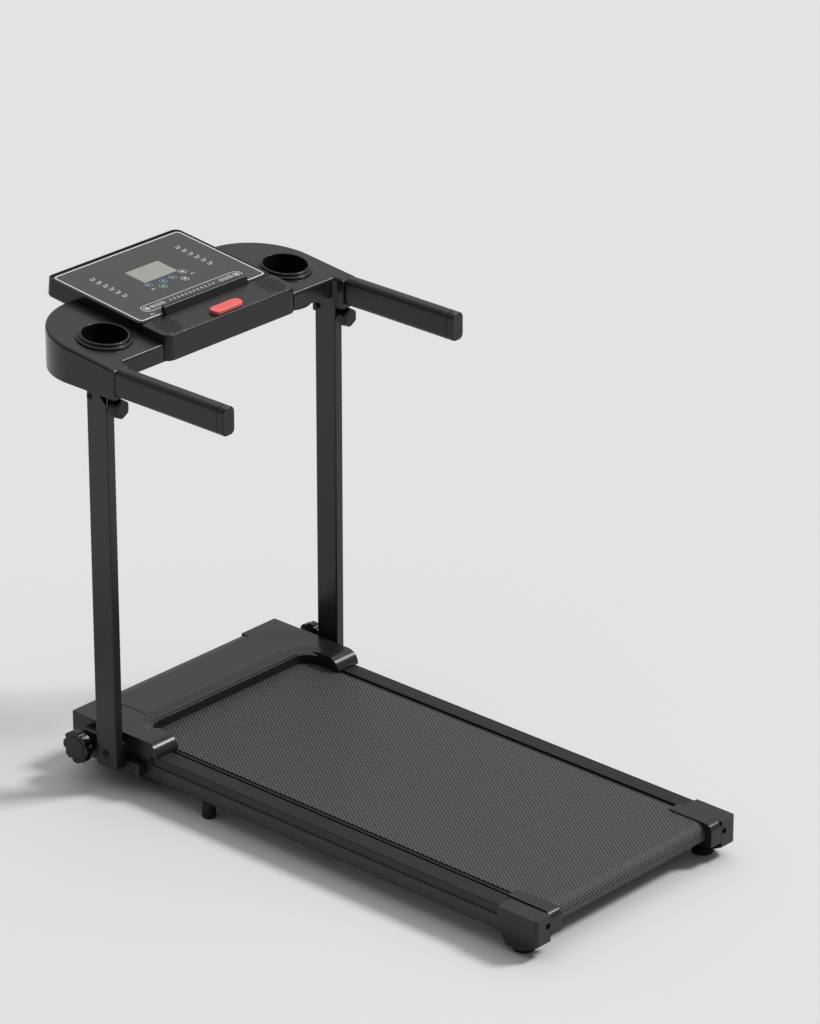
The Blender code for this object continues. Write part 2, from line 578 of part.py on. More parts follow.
def casing_outline(inset, s, open_side=0.0):
    """Plan of an arm casing: straight rear and outer sides and one round front corner."""
    outer = CASING_OUT - inset
    centre_x, centre_y = CASING_OUT - CASING_R, CASING_FRONT - CASING_R
    points = [(CASING_IN + inset - open_side, 1.071 + inset), (0.296 + inset, 1.071 + inset),
              (0.303 + inset, 1.064 + inset), (0.303 + inset, 1.048 + inset),
              (outer, 1.048 + inset)]
    points += arc(centre_x, centre_y, CASING_R - inset, 0, 90, 12)
    points += [(CASING_IN + inset - open_side, CASING_FRONT - inset)]
    return [(s * x, y) for x, y in points]


def slope_top(mesh, low, drop=0.0):
    """Raise every upper vertex of an upright prism to the sloping top of the casing."""
    for vertex in mesh.vertices:
        if vertex.co.z > low + 0.001:
            vertex.co.z = CASING_REAR_Z + (vertex.co.y - 1.07) * CASING_SLOPE - drop
    return mesh


def arm_casings():
    for name, s in SIDES.items():
        body = slope_top(prism("Z", [casing_outline(0, s)], CASING_LOW, 0.93), CASING_LOW)
        casing = add("arm_casing_" + name, body, "black_abs")
        hollow = slope_top(prism("Z", [casing_outline(0.003, s)], 0.85, 0.92), 0.85, 0.003)
        cut(casing, hollow,
            block(*span(s, 0.18, 0.2985), 1.06, 1.0795, 0.85, 0.890),
            block(*span(s, 0.18, 0.1960), 1.06, 1.34, 0.85, 0.890),
            block(*span(s, 0.3140, 0.3350), 1.03, 1.06, 0.8735, 0.9205),
            block(*span(s, 0.17, 0.20), CROSS_TUBE[0] - 0.0005, CROSS_TUBE[1] + 0.0005,
                  CROSS_TUBE[2] - 0.0005, CROSS_TUBE[3] + 0.0005),
            rod("Z", (s * CUP_X, CUP_Y), 0.0500, 0.90, 0.97, steps=32))
        cup_top = CASING_REAR_Z + (CUP_Y - 1.07) * CASING_SLOPE
        profile = [(0.0455, 0.0100), (0.0500, 0.0100), (0.0510, 0.0040), (0.0570, 0.0030),
                   (0.0570, 0.0006), (0.0475, 0.0006), (0.0460, -0.0480), (0, -0.0480),
                   (0, -0.0455), (0.0435, -0.0455)]
        cup = add_turned("cup_holder_" + name, profile, "black_abs",
                         (s * CUP_X, CUP_Y, cup_top), steps=28)
        cup.rotation_euler = (math.atan(CASING_SLOPE), 0, 0)


def console_housing():
    """Lower housing: a low tray under the head, and the sloping deck behind it."""
    def on_face(y):
        return FACE_Z + (y - FACE_Y) * math.tan(TILT)

    seat = HEAD_DEPTH / math.cos(TILT) + 0.0006
    deck_y, rear_y, front_y = 1.1295, 1.061, 1.330
    side = [(rear_y, 0.890), (rear_y, on_face(rear_y) - 0.0045), (rear_y + 0.004, on_face(rear_y) - 0.0012),
            (deck_y, on_face(deck_y) - 0.0012), (deck_y, on_face(deck_y) - seat),
            (front_y, on_face(front_y) - seat), (front_y, 0.890)]
    base = add("console_base", prism("X", [side], -FACE_HALF, FACE_HALF), "black_abs")
    wall = 0.003
    room = [(rear_y + wall, 0.88), (rear_y + wall, on_face(rear_y) - 0.007),
            (deck_y - wall, on_face(deck_y) - 0.0045), (deck_y - wall, on_face(deck_y) - seat - wall),
            (front_y - wall, on_face(front_y) - seat - wall), (front_y - wall, 0.88)]
    cut(base, prism("X", [room], -FACE_HALF + wall, FACE_HALF - wall),
        block(-0.2, 0.2, CROSS_TUBE[0] - 0.0005, CROSS_TUBE[1] + 0.0005,
              CROSS_TUBE[2] - 0.0005, CROSS_TUBE[3] + 0.0005))

    head_outline = rounded(-FACE_HALF, FACE_HALF, FACE_REAR, FACE_FRONT, 0.016, 4)
    head = add("console_head", prism("Z", [head_outline], -HEAD_DEPTH, 0), "black_abs",
               parent=display_face)
    recess = rounded(-0.1790, 0.1790, -0.0048, 0.2515, 0.012, 4)
    combine(head, prism("Z", [recess], -0.0024, 0.01), parent=display_face)
    combine(head, block(-0.160, 0.160, 0.012, 0.236, -0.037, 0.01), parent=display_face)

    lcd = (-0.0468, 0.0468, 0.1180, 0.1765)
    window = [(lcd[0], lcd[2]), (lcd[1], lcd[2]), (lcd[1], lcd[3]), (lcd[0], lcd[3])]
    sheet = rounded(-0.1787, 0.1787, -0.0045, 0.2512, 0.0117, 4)
    add("display_panel", prism("Z", [sheet, window], -0.0021, -0.0001), "panel_gloss",
        parent=display_face)
    add("lcd_window", block(lcd[0] + FIT, lcd[1] - FIT, lcd[2] + FIT, lcd[3] - FIT, -0.0050, -0.0006),
        "display_glass", parent=display_face)
    add("console_circuit_board", block(-0.140, 0.140, 0.030, 0.220, -0.0150, -0.0134),
        "circuit_green", parent=display_face)
    wedge = [(-0.0120, 0.0003), (0.0050, 0.0003), (0.0050, 0.0130), (0.0030, 0.0150),
             (-0.0015, 0.0150), (-0.0035, 0.0130)]
    add("tablet_ledge", prism("X", [wedge], -0.1165, 0.1180), "black_abs", parent=display_face)
    key_shape = rounded(-0.0410, 0.0410, -0.0130, 0.0130, 0.0129, 5)
    key = add("safety_key", prism("Z", [key_shape], 0.0, 0.0080), "key_red",
              (0.0, -0.0615, -0.0008), display_face)
    soften(key, 0.0025, 1, 60)


frame_rails()
crossbars()
running_surface()
rollers()
tension_bolts()
end_caps()
feet()
transport_wheels()
motor_hood()
power_entry()
bottom_pan()
drive()
uprights()
fold_bolts()
knobs()
console_frame()
grips()
arm_casings()
console_housing()
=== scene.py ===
import math

import bmesh
import bpy
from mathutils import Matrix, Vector


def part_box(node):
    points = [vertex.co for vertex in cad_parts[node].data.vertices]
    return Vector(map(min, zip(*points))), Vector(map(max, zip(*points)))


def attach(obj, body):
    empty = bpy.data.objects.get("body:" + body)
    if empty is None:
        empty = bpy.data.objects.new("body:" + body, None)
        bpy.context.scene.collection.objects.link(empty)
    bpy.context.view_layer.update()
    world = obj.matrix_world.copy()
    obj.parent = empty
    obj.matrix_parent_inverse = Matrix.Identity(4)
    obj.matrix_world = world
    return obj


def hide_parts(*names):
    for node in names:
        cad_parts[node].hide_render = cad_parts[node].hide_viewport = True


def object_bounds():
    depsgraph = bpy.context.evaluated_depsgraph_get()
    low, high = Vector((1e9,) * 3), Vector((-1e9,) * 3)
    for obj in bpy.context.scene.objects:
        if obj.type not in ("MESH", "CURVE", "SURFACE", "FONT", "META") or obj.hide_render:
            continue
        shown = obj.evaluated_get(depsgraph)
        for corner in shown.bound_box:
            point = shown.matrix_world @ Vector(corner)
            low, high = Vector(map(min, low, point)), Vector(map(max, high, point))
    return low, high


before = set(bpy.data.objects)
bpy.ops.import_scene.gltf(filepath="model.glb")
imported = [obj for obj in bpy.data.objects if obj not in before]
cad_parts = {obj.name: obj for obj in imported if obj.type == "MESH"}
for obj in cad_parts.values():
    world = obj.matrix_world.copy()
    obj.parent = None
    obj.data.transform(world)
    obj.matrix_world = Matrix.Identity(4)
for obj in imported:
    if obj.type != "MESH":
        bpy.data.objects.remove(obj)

# Folding treadmill.  The walker faces +Y; places along the machine are counted from its rear
# end with behind(), heights from the floor, and pairs are made on the right and mirrored.
CAD_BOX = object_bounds()
REAR_END = CAD_BOX[0][1]
AXES = {"X": Vector((1, 0, 0)), "Y": Vector((0, 1, 0)), "Z": Vector((0, 0, 1))}

TUBE_IN, TUBE_OUT = 0.2715, 0.2935            # side tube, across
TUBE_LOW, TUBE_TOP = 0.0345, 0.0675
TENSION_X = 0.2615                            # belt tension bolts
TENSION_Z = 0.065
LEVELLING = (0.265, 0.056)                    # levelling foot: across, along the machine
PIVOT = (1.109, 0.0775)                       # lower fold axis: along the machine, height
CONSOLE_PIVOT = (1.1265, 0.847)
POST_X = 0.323                                # middle of an upright, across
BOLT_X = 0.3343                               # seat of the fold bolts' heads
LOCK = (1.178, 0.074)                         # lock knob's shank: along the machine, height
CONSOLE_KNOB_Z = 0.838
CUP = (0.2545, 1.163)                         # cup's axis: across, along the machine
TILT = math.atan(0.109)                       # slope of the display face
CASING_SLOPE = 0.105                          # rise of the arm casings towards the front


def behind(along):
    """World y of a place counted from the machine's rear end."""
    return REAR_END + along


FACE = Vector((0, behind(1.1415), 0.9525))    # rear edge of the display face


# ---- modelling helpers ---------------------------------------------------------------------
def alone(piece):
    """Leave edit mode and make one piece the only selected and active object."""
    if bpy.context.object and bpy.context.object.mode != "OBJECT":
        bpy.ops.object.mode_set(mode="OBJECT")
    bpy.ops.object.select_all(action="DESELECT")
    piece.select_set(True)
    bpy.context.view_layer.objects.active = piece


def added(name):
    """Name the primitive just added and put its place into its mesh."""
    piece = bpy.context.object
    alone(piece)
    piece.name = name
    bpy.ops.object.transform_apply(location=True, rotation=True, scale=True)
    return piece


def block(name, low, high):
    middle = [(a + b) / 2 for a, b in zip(low, high)]
    size = [abs(b - a) for a, b in zip(low, high)]
    bpy.ops.object.select_all(action="DESELECT")
    bpy.ops.mesh.primitive_cube_add(size=1, location=middle, scale=size)
    return added(name)


def drum(name, axis, middle, radius, length, sides=64, tip=None):
    """Cylinder, or cone with a tip radius at the axis's far end."""
    turn = {"X": (0, math.pi / 2, 0), "Y": (-math.pi / 2, 0, 0), "Z": (0, 0, 0)}[axis]
    bpy.ops.object.select_all(action="DESELECT")
    bpy.ops.mesh.primitive_cone_add(vertices=sides, radius1=radius, depth=length, location=middle,
                                    radius2=radius if tip is None else tip, rotation=turn)
    return added(name)


def turned(name, profile, steps=64):
    """Spin a profile of (radius, height) about Z."""
    mesh = bpy.data.meshes.new(name)
    mesh.from_pydata([(r, 0, h) for r, h in profile],
                     [(i, i + 1) for i in range(len(profile) - 1)], [])
    piece = bpy.data.objects.new(name, mesh)
    bpy.context.scene.collection.objects.link(piece)
    alone(piece)
    bpy.ops.object.mode_set(mode="EDIT")
    bpy.ops.mesh.select_all(action="SELECT")
    bpy.ops.mesh.spin(steps=steps, angle=2 * math.pi, center=(0, 0, 0), axis=(0, 0, 1))
    tidy_mesh(piece)
    return piece


def tidy_mesh(piece):
    """Merge doubles and turn every face outwards."""
    pick(piece, "VERT", lambda v: True)
    bpy.ops.mesh.remove_doubles(threshold=0.00001)
    bpy.ops.mesh.normals_make_consistent(inside=False)
    alone(piece)


def settle(piece, where, turn):
    """Move and turn a piece made round the origin, with its place put into its mesh."""
    alone(piece)
    piece.location = where
    piece.rotation_euler = turn
    bpy.ops.object.transform_apply(location=True, rotation=True, scale=True)
    return piece


def place(piece, where, towards="Z", sign=1):
    """Settle a piece with its +Z turned to an axis."""
    turn = {"X": (0, sign * math.pi / 2, 0), "Y": (-sign * math.pi / 2, 0, 0), "Z": (0, 0, 0)}
    settle(piece, where, turn[towards])


def on_face(piece):
    """Lay a piece made in the display face's own frame onto the sloping face."""
    return settle(piece, FACE, (TILT, 0, 0))


def centre(part):
    corners = [v.co for v in part.verts]
    return sum(corners, Vector()) / len(corners)


def runs(edge, axis):
    step = edge.verts[1].co - edge.verts[0].co
    return abs(step.normalized().dot(AXES[axis])) > 0.999


def near(a, b, reach=0.0004):
    return abs(a - b) < reach


def pick(piece, kind, test):
    """Enter edit mode with only the vertices, edges or faces that pass a test selected."""
    alone(piece)
    bpy.ops.object.mode_set(mode="EDIT")
    bpy.ops.mesh.select_mode(type=kind)
    bpy.ops.mesh.select_all(action="DESELECT")
    shape = bmesh.from_edit_mesh(piece.data)
    for part in {"VERT": shape.verts, "EDGE": shape.edges, "FACE": shape.faces}[kind]:
        if test(part):
            part.select_set(True)
    shape.select_flush_mode()
    bmesh.update_edit_mesh(piece.data)


def round_edges(piece, test, width, segments=4, clamp=True):
    pick(piece, "EDGE", test)
    bpy.ops.mesh.bevel(offset=width, segments=segments, affect="EDGES", clamp_overlap=clamp)
    alone(piece)


def inset(piece, test, thickness, depth=0.0):
    pick(piece, "FACE", test)
    bpy.ops.mesh.inset(thickness=thickness, depth=depth)
    alone(piece)


def extrude(piece, test, move):
    pick(piece, "FACE", test)
    bpy.ops.mesh.extrude_region_move(TRANSFORM_OT_translate={"value": move})
    alone(piece)


def shift(piece, kind, test, move):
    pick(piece, kind, test)
    bpy.ops.transform.translate(value=move)
    alone(piece)


def stretch(piece, factor, level):
    """Scale a piece's heights about a level."""
    pick(piece, "VERT", lambda v: True)
    bpy.ops.transform.resize(value=(1, 1, factor), center_override=(0, 0, level))
    alone(piece)


def remove_faces(piece, test):
    pick(piece, "FACE", test)
    bpy.ops.mesh.delete(type="FACE")
    alone(piece)


def slice_at(piece, point, normal, shave=False):
    """Cut a piece's mesh along a plane; with shave, the side the normal points to is removed."""
    pick(piece, "VERT", lambda v: True)
    bpy.ops.mesh.bisect(plane_co=point, plane_no=normal, use_fill=shave, clear_outer=shave)
    alone(piece)


def apply_step(piece, kind, **settings):
    step = piece.modifiers.new(kind.lower(), kind)
    for key, value in settings.items():
        setattr(step, key, value)
    alone(piece)
    bpy.ops.object.modifier_apply(modifier=step.name)


def carve(piece, cutter, operation="DIFFERENCE"):
    apply_step(piece, "BOOLEAN", operation=operation, object=cutter, solver="EXACT")
    bpy.data.objects.remove(cutter, do_unlink=True)


def weld(piece, *others):
    for other in others:
        carve(piece, other, "UNION")


def gather(name, pieces):
    """Join separate solids into one piece."""
    alone(pieces[0])
    for piece in pieces:
        piece.select_set(True)
    bpy.ops.object.join()
    bpy.context.object.name = name
    return bpy.context.object


def ease(piece, width, segments=3, angle=35):
    """Soften every edge sharper than an angle."""
    apply_step(piece, "BEVEL", width=width, segments=segments, limit_method="ANGLE",
               angle_limit=math.radians(angle), miter_outer="MITER_ARC")


def finish(piece, body, material, slot, *nodes, angle=32):
    """Shade a piece, give it its finish and let it ride on its body."""
    alone(piece)
    bpy.ops.object.shade_smooth_by_angle(angle=math.radians(angle))
    apply_step(piece, "WEIGHTED_NORMAL", keep_sharp=True, weight=60)
    piece.data.materials.clear()
    piece.data.materials.append(material)
    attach(piece, body)
    if nodes:
        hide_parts(*nodes)
    return piece


def mirrored(piece, name):
    """A mirrored copy on the other side of the machine, with its own mesh."""
    alone(piece)
    bpy.ops.object.duplicate()
    copy = bpy.context.object
    copy.name = name
    copy.scale.x = -1
    bpy.ops.object.transform_apply(location=False, rotation=False, scale=True)
    tidy_mesh(copy)
    return copy


def finish_pair(piece, name, body, material, slot, node=None, angle=32):
    """Finish a right-hand piece and its mirrored twin; {side} in body is filled in."""
    twin = mirrored(piece, name + "_left")
    piece.name = name + "_right"
    for side, part in (("right", piece), ("left", twin)):
        nodes = [node + "_" + side] if node else []
        finish(part, body.format(side=side), material, slot, *nodes, angle=angle)


# ---- materials -----------------------------------------------------------------------------
def linear(code):
    """sRGB hex colour as linear RGBA."""
    parts = [int(code[i:i + 2], 16) / 255 for i in (1, 3, 5)]
    return [c / 12.92 if c <= 0.04045 else ((c + 0.055) / 1.055) ** 2.4 for c in parts] + [1.0]


def add_node(tree, kind, links=None, **settings):
    """Add a node; links fills sockets by name or number, with a value or another socket."""
    made = tree.nodes.new("ShaderNode" + kind)
    for key, value in settings.items():
        setattr(made, key, value)
    for socket, value in (links or {}).items():
        if isinstance(value, bpy.types.NodeSocket):
            tree.links.new(value, made.inputs[socket])
        else:
            made.inputs[socket].default_value = value
    return made


def start_material(name):
    made = bpy.data.materials.new(name)
    made.use_nodes = True
    made.node_tree.nodes.clear()
    return made, made.node_tree


def close_material(tree, **sockets):
    """Principled shader and output, sockets named with _ for a space."""
    links = {key.replace("_", " "): value for key, value in sockets.items()}
    shader = add_node(tree, "BsdfPrincipled", links)
    add_node(tree, "OutputMaterial", {"Surface": shader.outputs[0]})


def grained(name, dark, light, rough, grain, bump, metallic=0.0, shine=0.35):
    """Grain of a real size in metres under a slow drift of colour and gloss."""
    made, tree = start_material(name)
    where = add_node(tree, "TexCoord").outputs["Object"]
    drift = add_node(tree, "TexNoise", {"Vector": where, "Scale": 9.0, "Detail": 3.0})
    fine = add_node(tree, "TexNoise", {"Vector": where, "Scale": 1 / grain, "Detail": 2.0})
    mix = add_node(tree, "Math", {0: drift.outputs["Fac"], 1: fine.outputs["Fac"]}, operation="ADD")
    half = add_node(tree, "Math", {0: mix.outputs[0], 1: 0.5}, operation="MULTIPLY")
    tone = add_node(tree, "MixRGB", {0: half.outputs[0], 1: linear(dark), 2: linear(light)})
    spread = 0.06                             # how far the roughness strays either way
    gloss = add_node(tree, "MapRange", {0: half.outputs[0], 1: 0.3, 2: 0.7,
                                        3: rough - spread, 4: rough + spread})
    relief = add_node(tree, "Bump", {"Height": fine.outputs["Fac"], "Distance": bump,
                                     "Strength": 0.6})
    close_material(tree, Base_Color=tone.outputs[0], Roughness=gloss.outputs[0],
                   Metallic=metallic, Specular_IOR_Level=shine, Normal=relief.outputs[0])
    return made


def woven_belt():
    """PVC treadmill belting with a long diamond weave, 6.6 mm between threads."""
    made, tree = start_material("woven_pvc_belting")
    where = add_node(tree, "UVMap", uv_map="belt").outputs[0]
    pitch, lean = 0.0066, math.radians(33)    # between threads; from the belt's length
    scale = 2 * math.pi / 20 / pitch          # a band texture repeats every 2 pi / 20 units
    bands = []
    for side in (-1, 1):
        along = add_node(tree, "Mapping", {"Vector": where, "Rotation": (0, 0, side * lean)})
        bands.append(add_node(tree, "TexWave", {"Vector": along.outputs[0], "Scale": scale}))
    weave = add_node(tree, "Math", {0: bands[0].outputs["Fac"], 1: bands[1].outputs["Fac"]},
                     operation="MULTIPLY")
    soft = add_node(tree, "TexNoise", {"Vector": where, "Scale": 14.0, "Detail": 4.0})
    wear = add_node(tree, "MixRGB", {0: soft.outputs["Fac"], 1: linear("#161616"),
                                     2: linear("#1c1c1c")})
    # Pale threads over near-black grooves: the weave's own pattern, with painted highlight on the
    # raised threads and painted shade in the grooves.
    tone = add_node(tree, "MixRGB", {0: weave.outputs[0], 1: wear.outputs[0],
                                     2: linear("#6c6c6c")})
    gloss = add_node(tree, "MapRange", {0: weave.outputs[0], 3: 0.62, 4: 0.40})
    relief = add_node(tree, "Bump", {"Height": weave.outputs[0], "Distance": 0.0013,
                                     "Strength": 1.0})
    close_material(tree, Base_Color=tone.outputs[0], Roughness=gloss.outputs[0], IOR=1.5,
                   Normal=relief.outputs[0])
    return made


def ribbed_rail():
    """Co-extruded PVC: the ribs are modelled, and fine draw lines run along them."""
    made, tree = start_material("extruded_pvc")
    where = add_node(tree, "TexCoord").outputs["Object"]
    long = add_node(tree, "Mapping", {"Vector": where, "Scale": (500, 2, 500)})
    lines = add_node(tree, "TexNoise", {"Vector": long.outputs[0], "Scale": 1.0, "Detail": 1.0})
    tone = add_node(tree, "MixRGB", {0: lines.outputs["Fac"], 1: linear("#242424"),
                                     2: linear("#2c2c2c")})
    relief = add_node(tree, "Bump", {"Height": lines.outputs["Fac"], "Distance": 0.00004,
                                     "Strength": 0.4})
    close_material(tree, Base_Color=tone.outputs[0], Roughness=0.44, Specular_IOR_Level=0.35,
                   Normal=relief.outputs[0])
    return made


def foam_grip():
    """Foam sleeve: satin skin over small cells, drawn at 1.6 mm so that they show."""
    made, tree = start_material("closed_cell_foam")
    where = add_node(tree, "TexCoord").outputs["Object"]
    cells = add_node(tree, "TexVoronoi", {"Vector": where, "Scale": 1 / 0.0016})
    drift = add_node(tree, "TexNoise", {"Vector": where, "Scale": 25.0, "Detail": 3.0})
    tone = add_node(tree, "MixRGB", {0: drift.outputs["Fac"], 1: linear("#121212"),
                                     2: linear("#1b1b1b")})
    relief = add_node(tree, "Bump", {"Height": cells.outputs["Distance"], "Distance": 0.0004,
                                     "Strength": 0.5})
    close_material(tree, Base_Color=tone.outputs[0], Roughness=0.33, Specular_IOR_Level=0.4,
                   Normal=relief.outputs[0])
    return made


def display_glass():
    """Reflective liquid crystal cell behind clear acrylic: grey green with faint segments."""
    made, tree = start_material("lcd_under_acrylic")
    where = add_node(tree, "TexCoord").outputs["Object"]
    cells = add_node(tree, "TexBrick", {"Vector": where, "Scale": 60.0,
                                        "Color1": linear("#9a9b92"), "Color2": linear("#95968d"),
                                        "Mortar": linear("#8e8f87"), "Mortar Size": 0.01})
    close_material(tree, Base_Color=cells.outputs["Color"], Roughness=0.22, IOR=1.49,
                   Coat_Weight=0.3, Coat_Roughness=0.08)
    return made


def inked(name, code):
    """Screen-printed ink, slightly uneven in cover."""
    made, tree = start_material(name)
    where = add_node(tree, "TexCoord").outputs["Object"]
    cover = add_node(tree, "TexNoise", {"Vector": where, "Scale": 1200.0})
    thin = [c * 0.8 for c in linear(code)[:3]] + [1.0]
    tone = add_node(tree, "MixRGB", {0: cover.outputs["Fac"], 1: thin, 2: linear(code)})
    close_material(tree, Base_Color=tone.outputs[0], Roughness=0.5)
    return made


# Grains are drawn coarser than the real ones, so that they show.
# Covers: a fine even spark texture that spreads highlights along rounded edges.
ABS = grained("spark_textured_abs", "#181818", "#242424", 0.23, 0.0014, 0.00008, shine=0.36)
# Knobs, cups, wheels and the display housing: the same plastic in a deeper black.
DEEP_ABS = grained("black_moulded_abs", "#101010", "#1a1a1a", 0.26, 0.0016, 0.00007, shine=0.32)
# Baked powder: slightly coarser than the plastic, with a satin sheen.
STEEL_COAT = grained("powder_coated_steel", "#1b1b1b", "#272727", 0.27, 0.0022, 0.0001, shine=0.42)
# Plated axles and pulley: pale metal with a dull gleam.  Screws: the same plating, blackened.
ZINC = grained("zinc_plated_steel", "#8e8e8e", "#b6b6b6", 0.34, 0.0009, 0.00004, metallic=1.0)
BLACK_ZINC = grained("black_zinc_screw", "#1e1e1e", "#313131", 0.36, 0.0009, 0.00004, metallic=0.7)
# Rollers: bare steel with the finest tool marks.
ROLLER_STEEL = grained("turned_roller_steel", "#787878", "#9c9c9c", 0.3, 0.0006, 0.00003,
                       metallic=1.0)
# Feet and drive belt: matt and faintly dusty.
RUBBER = grained("moulded_rubber", "#101010", "#191919", 0.6, 0.0018, 0.00012)
# Deck board and circuit boards: a dull black facing, and a green lacquer.
BOARD = grained("black_faced_deck_board", "#101010", "#181818", 0.6, 0.0030, 0.0001)
CIRCUIT = grained("green_solder_mask", "#0f3a20", "#1c5a33", 0.4, 0.0030, 0.00004, shine=0.5)
# Display film: smooth dark grey, paler than the housing round it.
FILM = grained("satin_polycarbonate_film", "#3a3a3a", "#444444", 0.36, 0.0012, 0.00003)
# Safety key and rocker: bright red, a little uneven in depth.
RED = grained("red_gloss_abs", "#dc5456", "#ee6a68", 0.34, 0.0020, 0.00005, shine=0.5)
# Speaker holes: not cut, but drawn as nearly black discs with almost no reflection, painted shade for
# the depth of the holes.
PAINTED_HOLE_SHADE = grained("painted_hole_shade", "#070707", "#0d0d0d", 0.6, 0.0014, 0.0001, shine=0.15)
FOAM = foam_grip()
BELTING = woven_belt()
RAIL_PVC = ribbed_rail()
LCD = display_glass()
WHITE_INK = inked("white_screen_ink", "#f4f4f4")
GREY_INK = inked("grey_screen_ink", "#d6d6d6")
BLUE_INK = inked("blue_screen_ink", "#7fa6c4")
GREEN_INK = inked("green_screen_ink", "#7fc3a2")


# ---- frame ---------------------------------------------------------------------------------
def side_tubes():
    """Rectangular steel tubes, each with the welded block that carries its upright."""
    tube = block("side_tube", (TUBE_IN, behind(0.0125), TUBE_LOW),
                 (TUBE_OUT, behind(1.200), TUBE_TOP))
    round_edges(tube, lambda e: runs(e, "Y"), 0.0028, 4)
    inset(tube, lambda f: abs(f.normal.y) > 0.9, 0.002, -0.030)
    carrier = block("carrier", (0.2950, behind(1.0375), 0.040), (0.3115, behind(1.197), 0.100))
    carve(carrier, block("step", (0.28, behind(1.02), 0.0668), (0.33, behind(1.084), 0.12)))
    round_edges(carrier, lambda e: runs(e, "X"), 0.004, 5)
    ease(carrier, 0.0008, 2)
    neck = block("neck", (0.2925, behind(1.046), 0.042), (0.2960, behind(1.190), 0.066))
    weld(tube, carrier, neck)
    finish_pair(tube, "side_tube", "deck_frame", STEEL_COAT, "powder_steel", "frame_rail")

    # nearly flush, so that the upright passes over it when the machine folds
    screw = drum("screw", "X", (0.3110, behind(1.053), 0.057), 0.0068, 0.0014, 32)
    carve(screw, drum("socket", "X", (0.3120, behind(1.053), 0.057), 0.0032, 0.0024, 6))
    ease(screw, 0.0003, 2)
    finish_pair(screw, "carrier_screw", "deck_frame", BLACK_ZINC, "bright_steel")


def foot_rails():
    """Extruded side rails with shallow grooves along the top."""
    low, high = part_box("foot_rail_right")
    rail = block("foot_rail", low, high)
    round_edges(rail, lambda e: runs(e, "Y") and near(centre(e).z, high.z)
                and near(centre(e).x, high.x), 0.004, 5)
    round_edges(rail, lambda e: runs(e, "Y") and near(centre(e).z, high.z)
                and near(centre(e).x, low.x), 0.002, 3)
    pitch, groove, grooves = 0.0065, 0.0022, 5
    first = low.x + 0.0045
    for k in range(grooves):
        for edge in (0, groove):
            slice_at(rail, (first + k * pitch + edge, 0, 0), (1, 0, 0))

    def in_groove(face):
        across = (centre(face).x - first) % pitch
        inside = first < centre(face).x < first + grooves * pitch
        return face.normal.z > 0.9 and inside and across < groove
    inset(rail, in_groove, 0.0003, -0.0012)
    finish_pair(rail, "foot_rail_ribbed", "deck_frame", RAIL_PVC, "ribbed_pvc", "foot_rail")


def running_belt():
    """Endless belt: a wide hoop whose front half is drawn out to the front roller."""
    low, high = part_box("running_belt")
    radius = (high.z - low.z) / 2
    middle = (high.z + low.z) / 2
    rear, front = low.y + radius, high.y - radius
    bpy.ops.object.select_all(action="DESELECT")
    bpy.ops.mesh.primitive_cylinder_add(vertices=96, radius=radius, depth=high.x - low.x,
                                        end_fill_type="NOTHING", location=(0, rear, middle),
                                        rotation=(0, math.pi / 2, 0))
    belt = added("woven_belt")
    shift(belt, "VERT", lambda v: v.co.y > rear + 0.0001, (0, front - rear, 0))
    shape = bmesh.new()
    shape.from_mesh(belt.data)
    layer = shape.loops.layers.uv.new("belt")
    for face in shape.faces:
        mid = centre(face)
        for loop in face.loops:
            point = loop.vert.co
            loop[layer].uv = (point.x, belt_length(point, mid, rear, front, middle, radius))
    shape.to_mesh(belt.data)
    shape.free()
    apply_step(belt, "SOLIDIFY", thickness=0.0019, offset=-1)
    ease(belt, 0.0004, 2, 60)
    finish(belt, "deck_frame", BELTING, "belt_pvc", "running_belt")


def belt_length(point, mid, rear, front, middle, radius):
    """Distance along the belt from the rear roller's top, for a point of a face around mid."""
    half = math.pi * radius
    if rear < mid.y < front:
        return point.y - rear if mid.z > middle else -half - (point.y - rear)
    if mid.y < rear:
        return -radius * math.atan2(rear - point.y, point.z - middle)
    return (front - rear) + radius * math.atan2(point.y - front, point.z - middle)


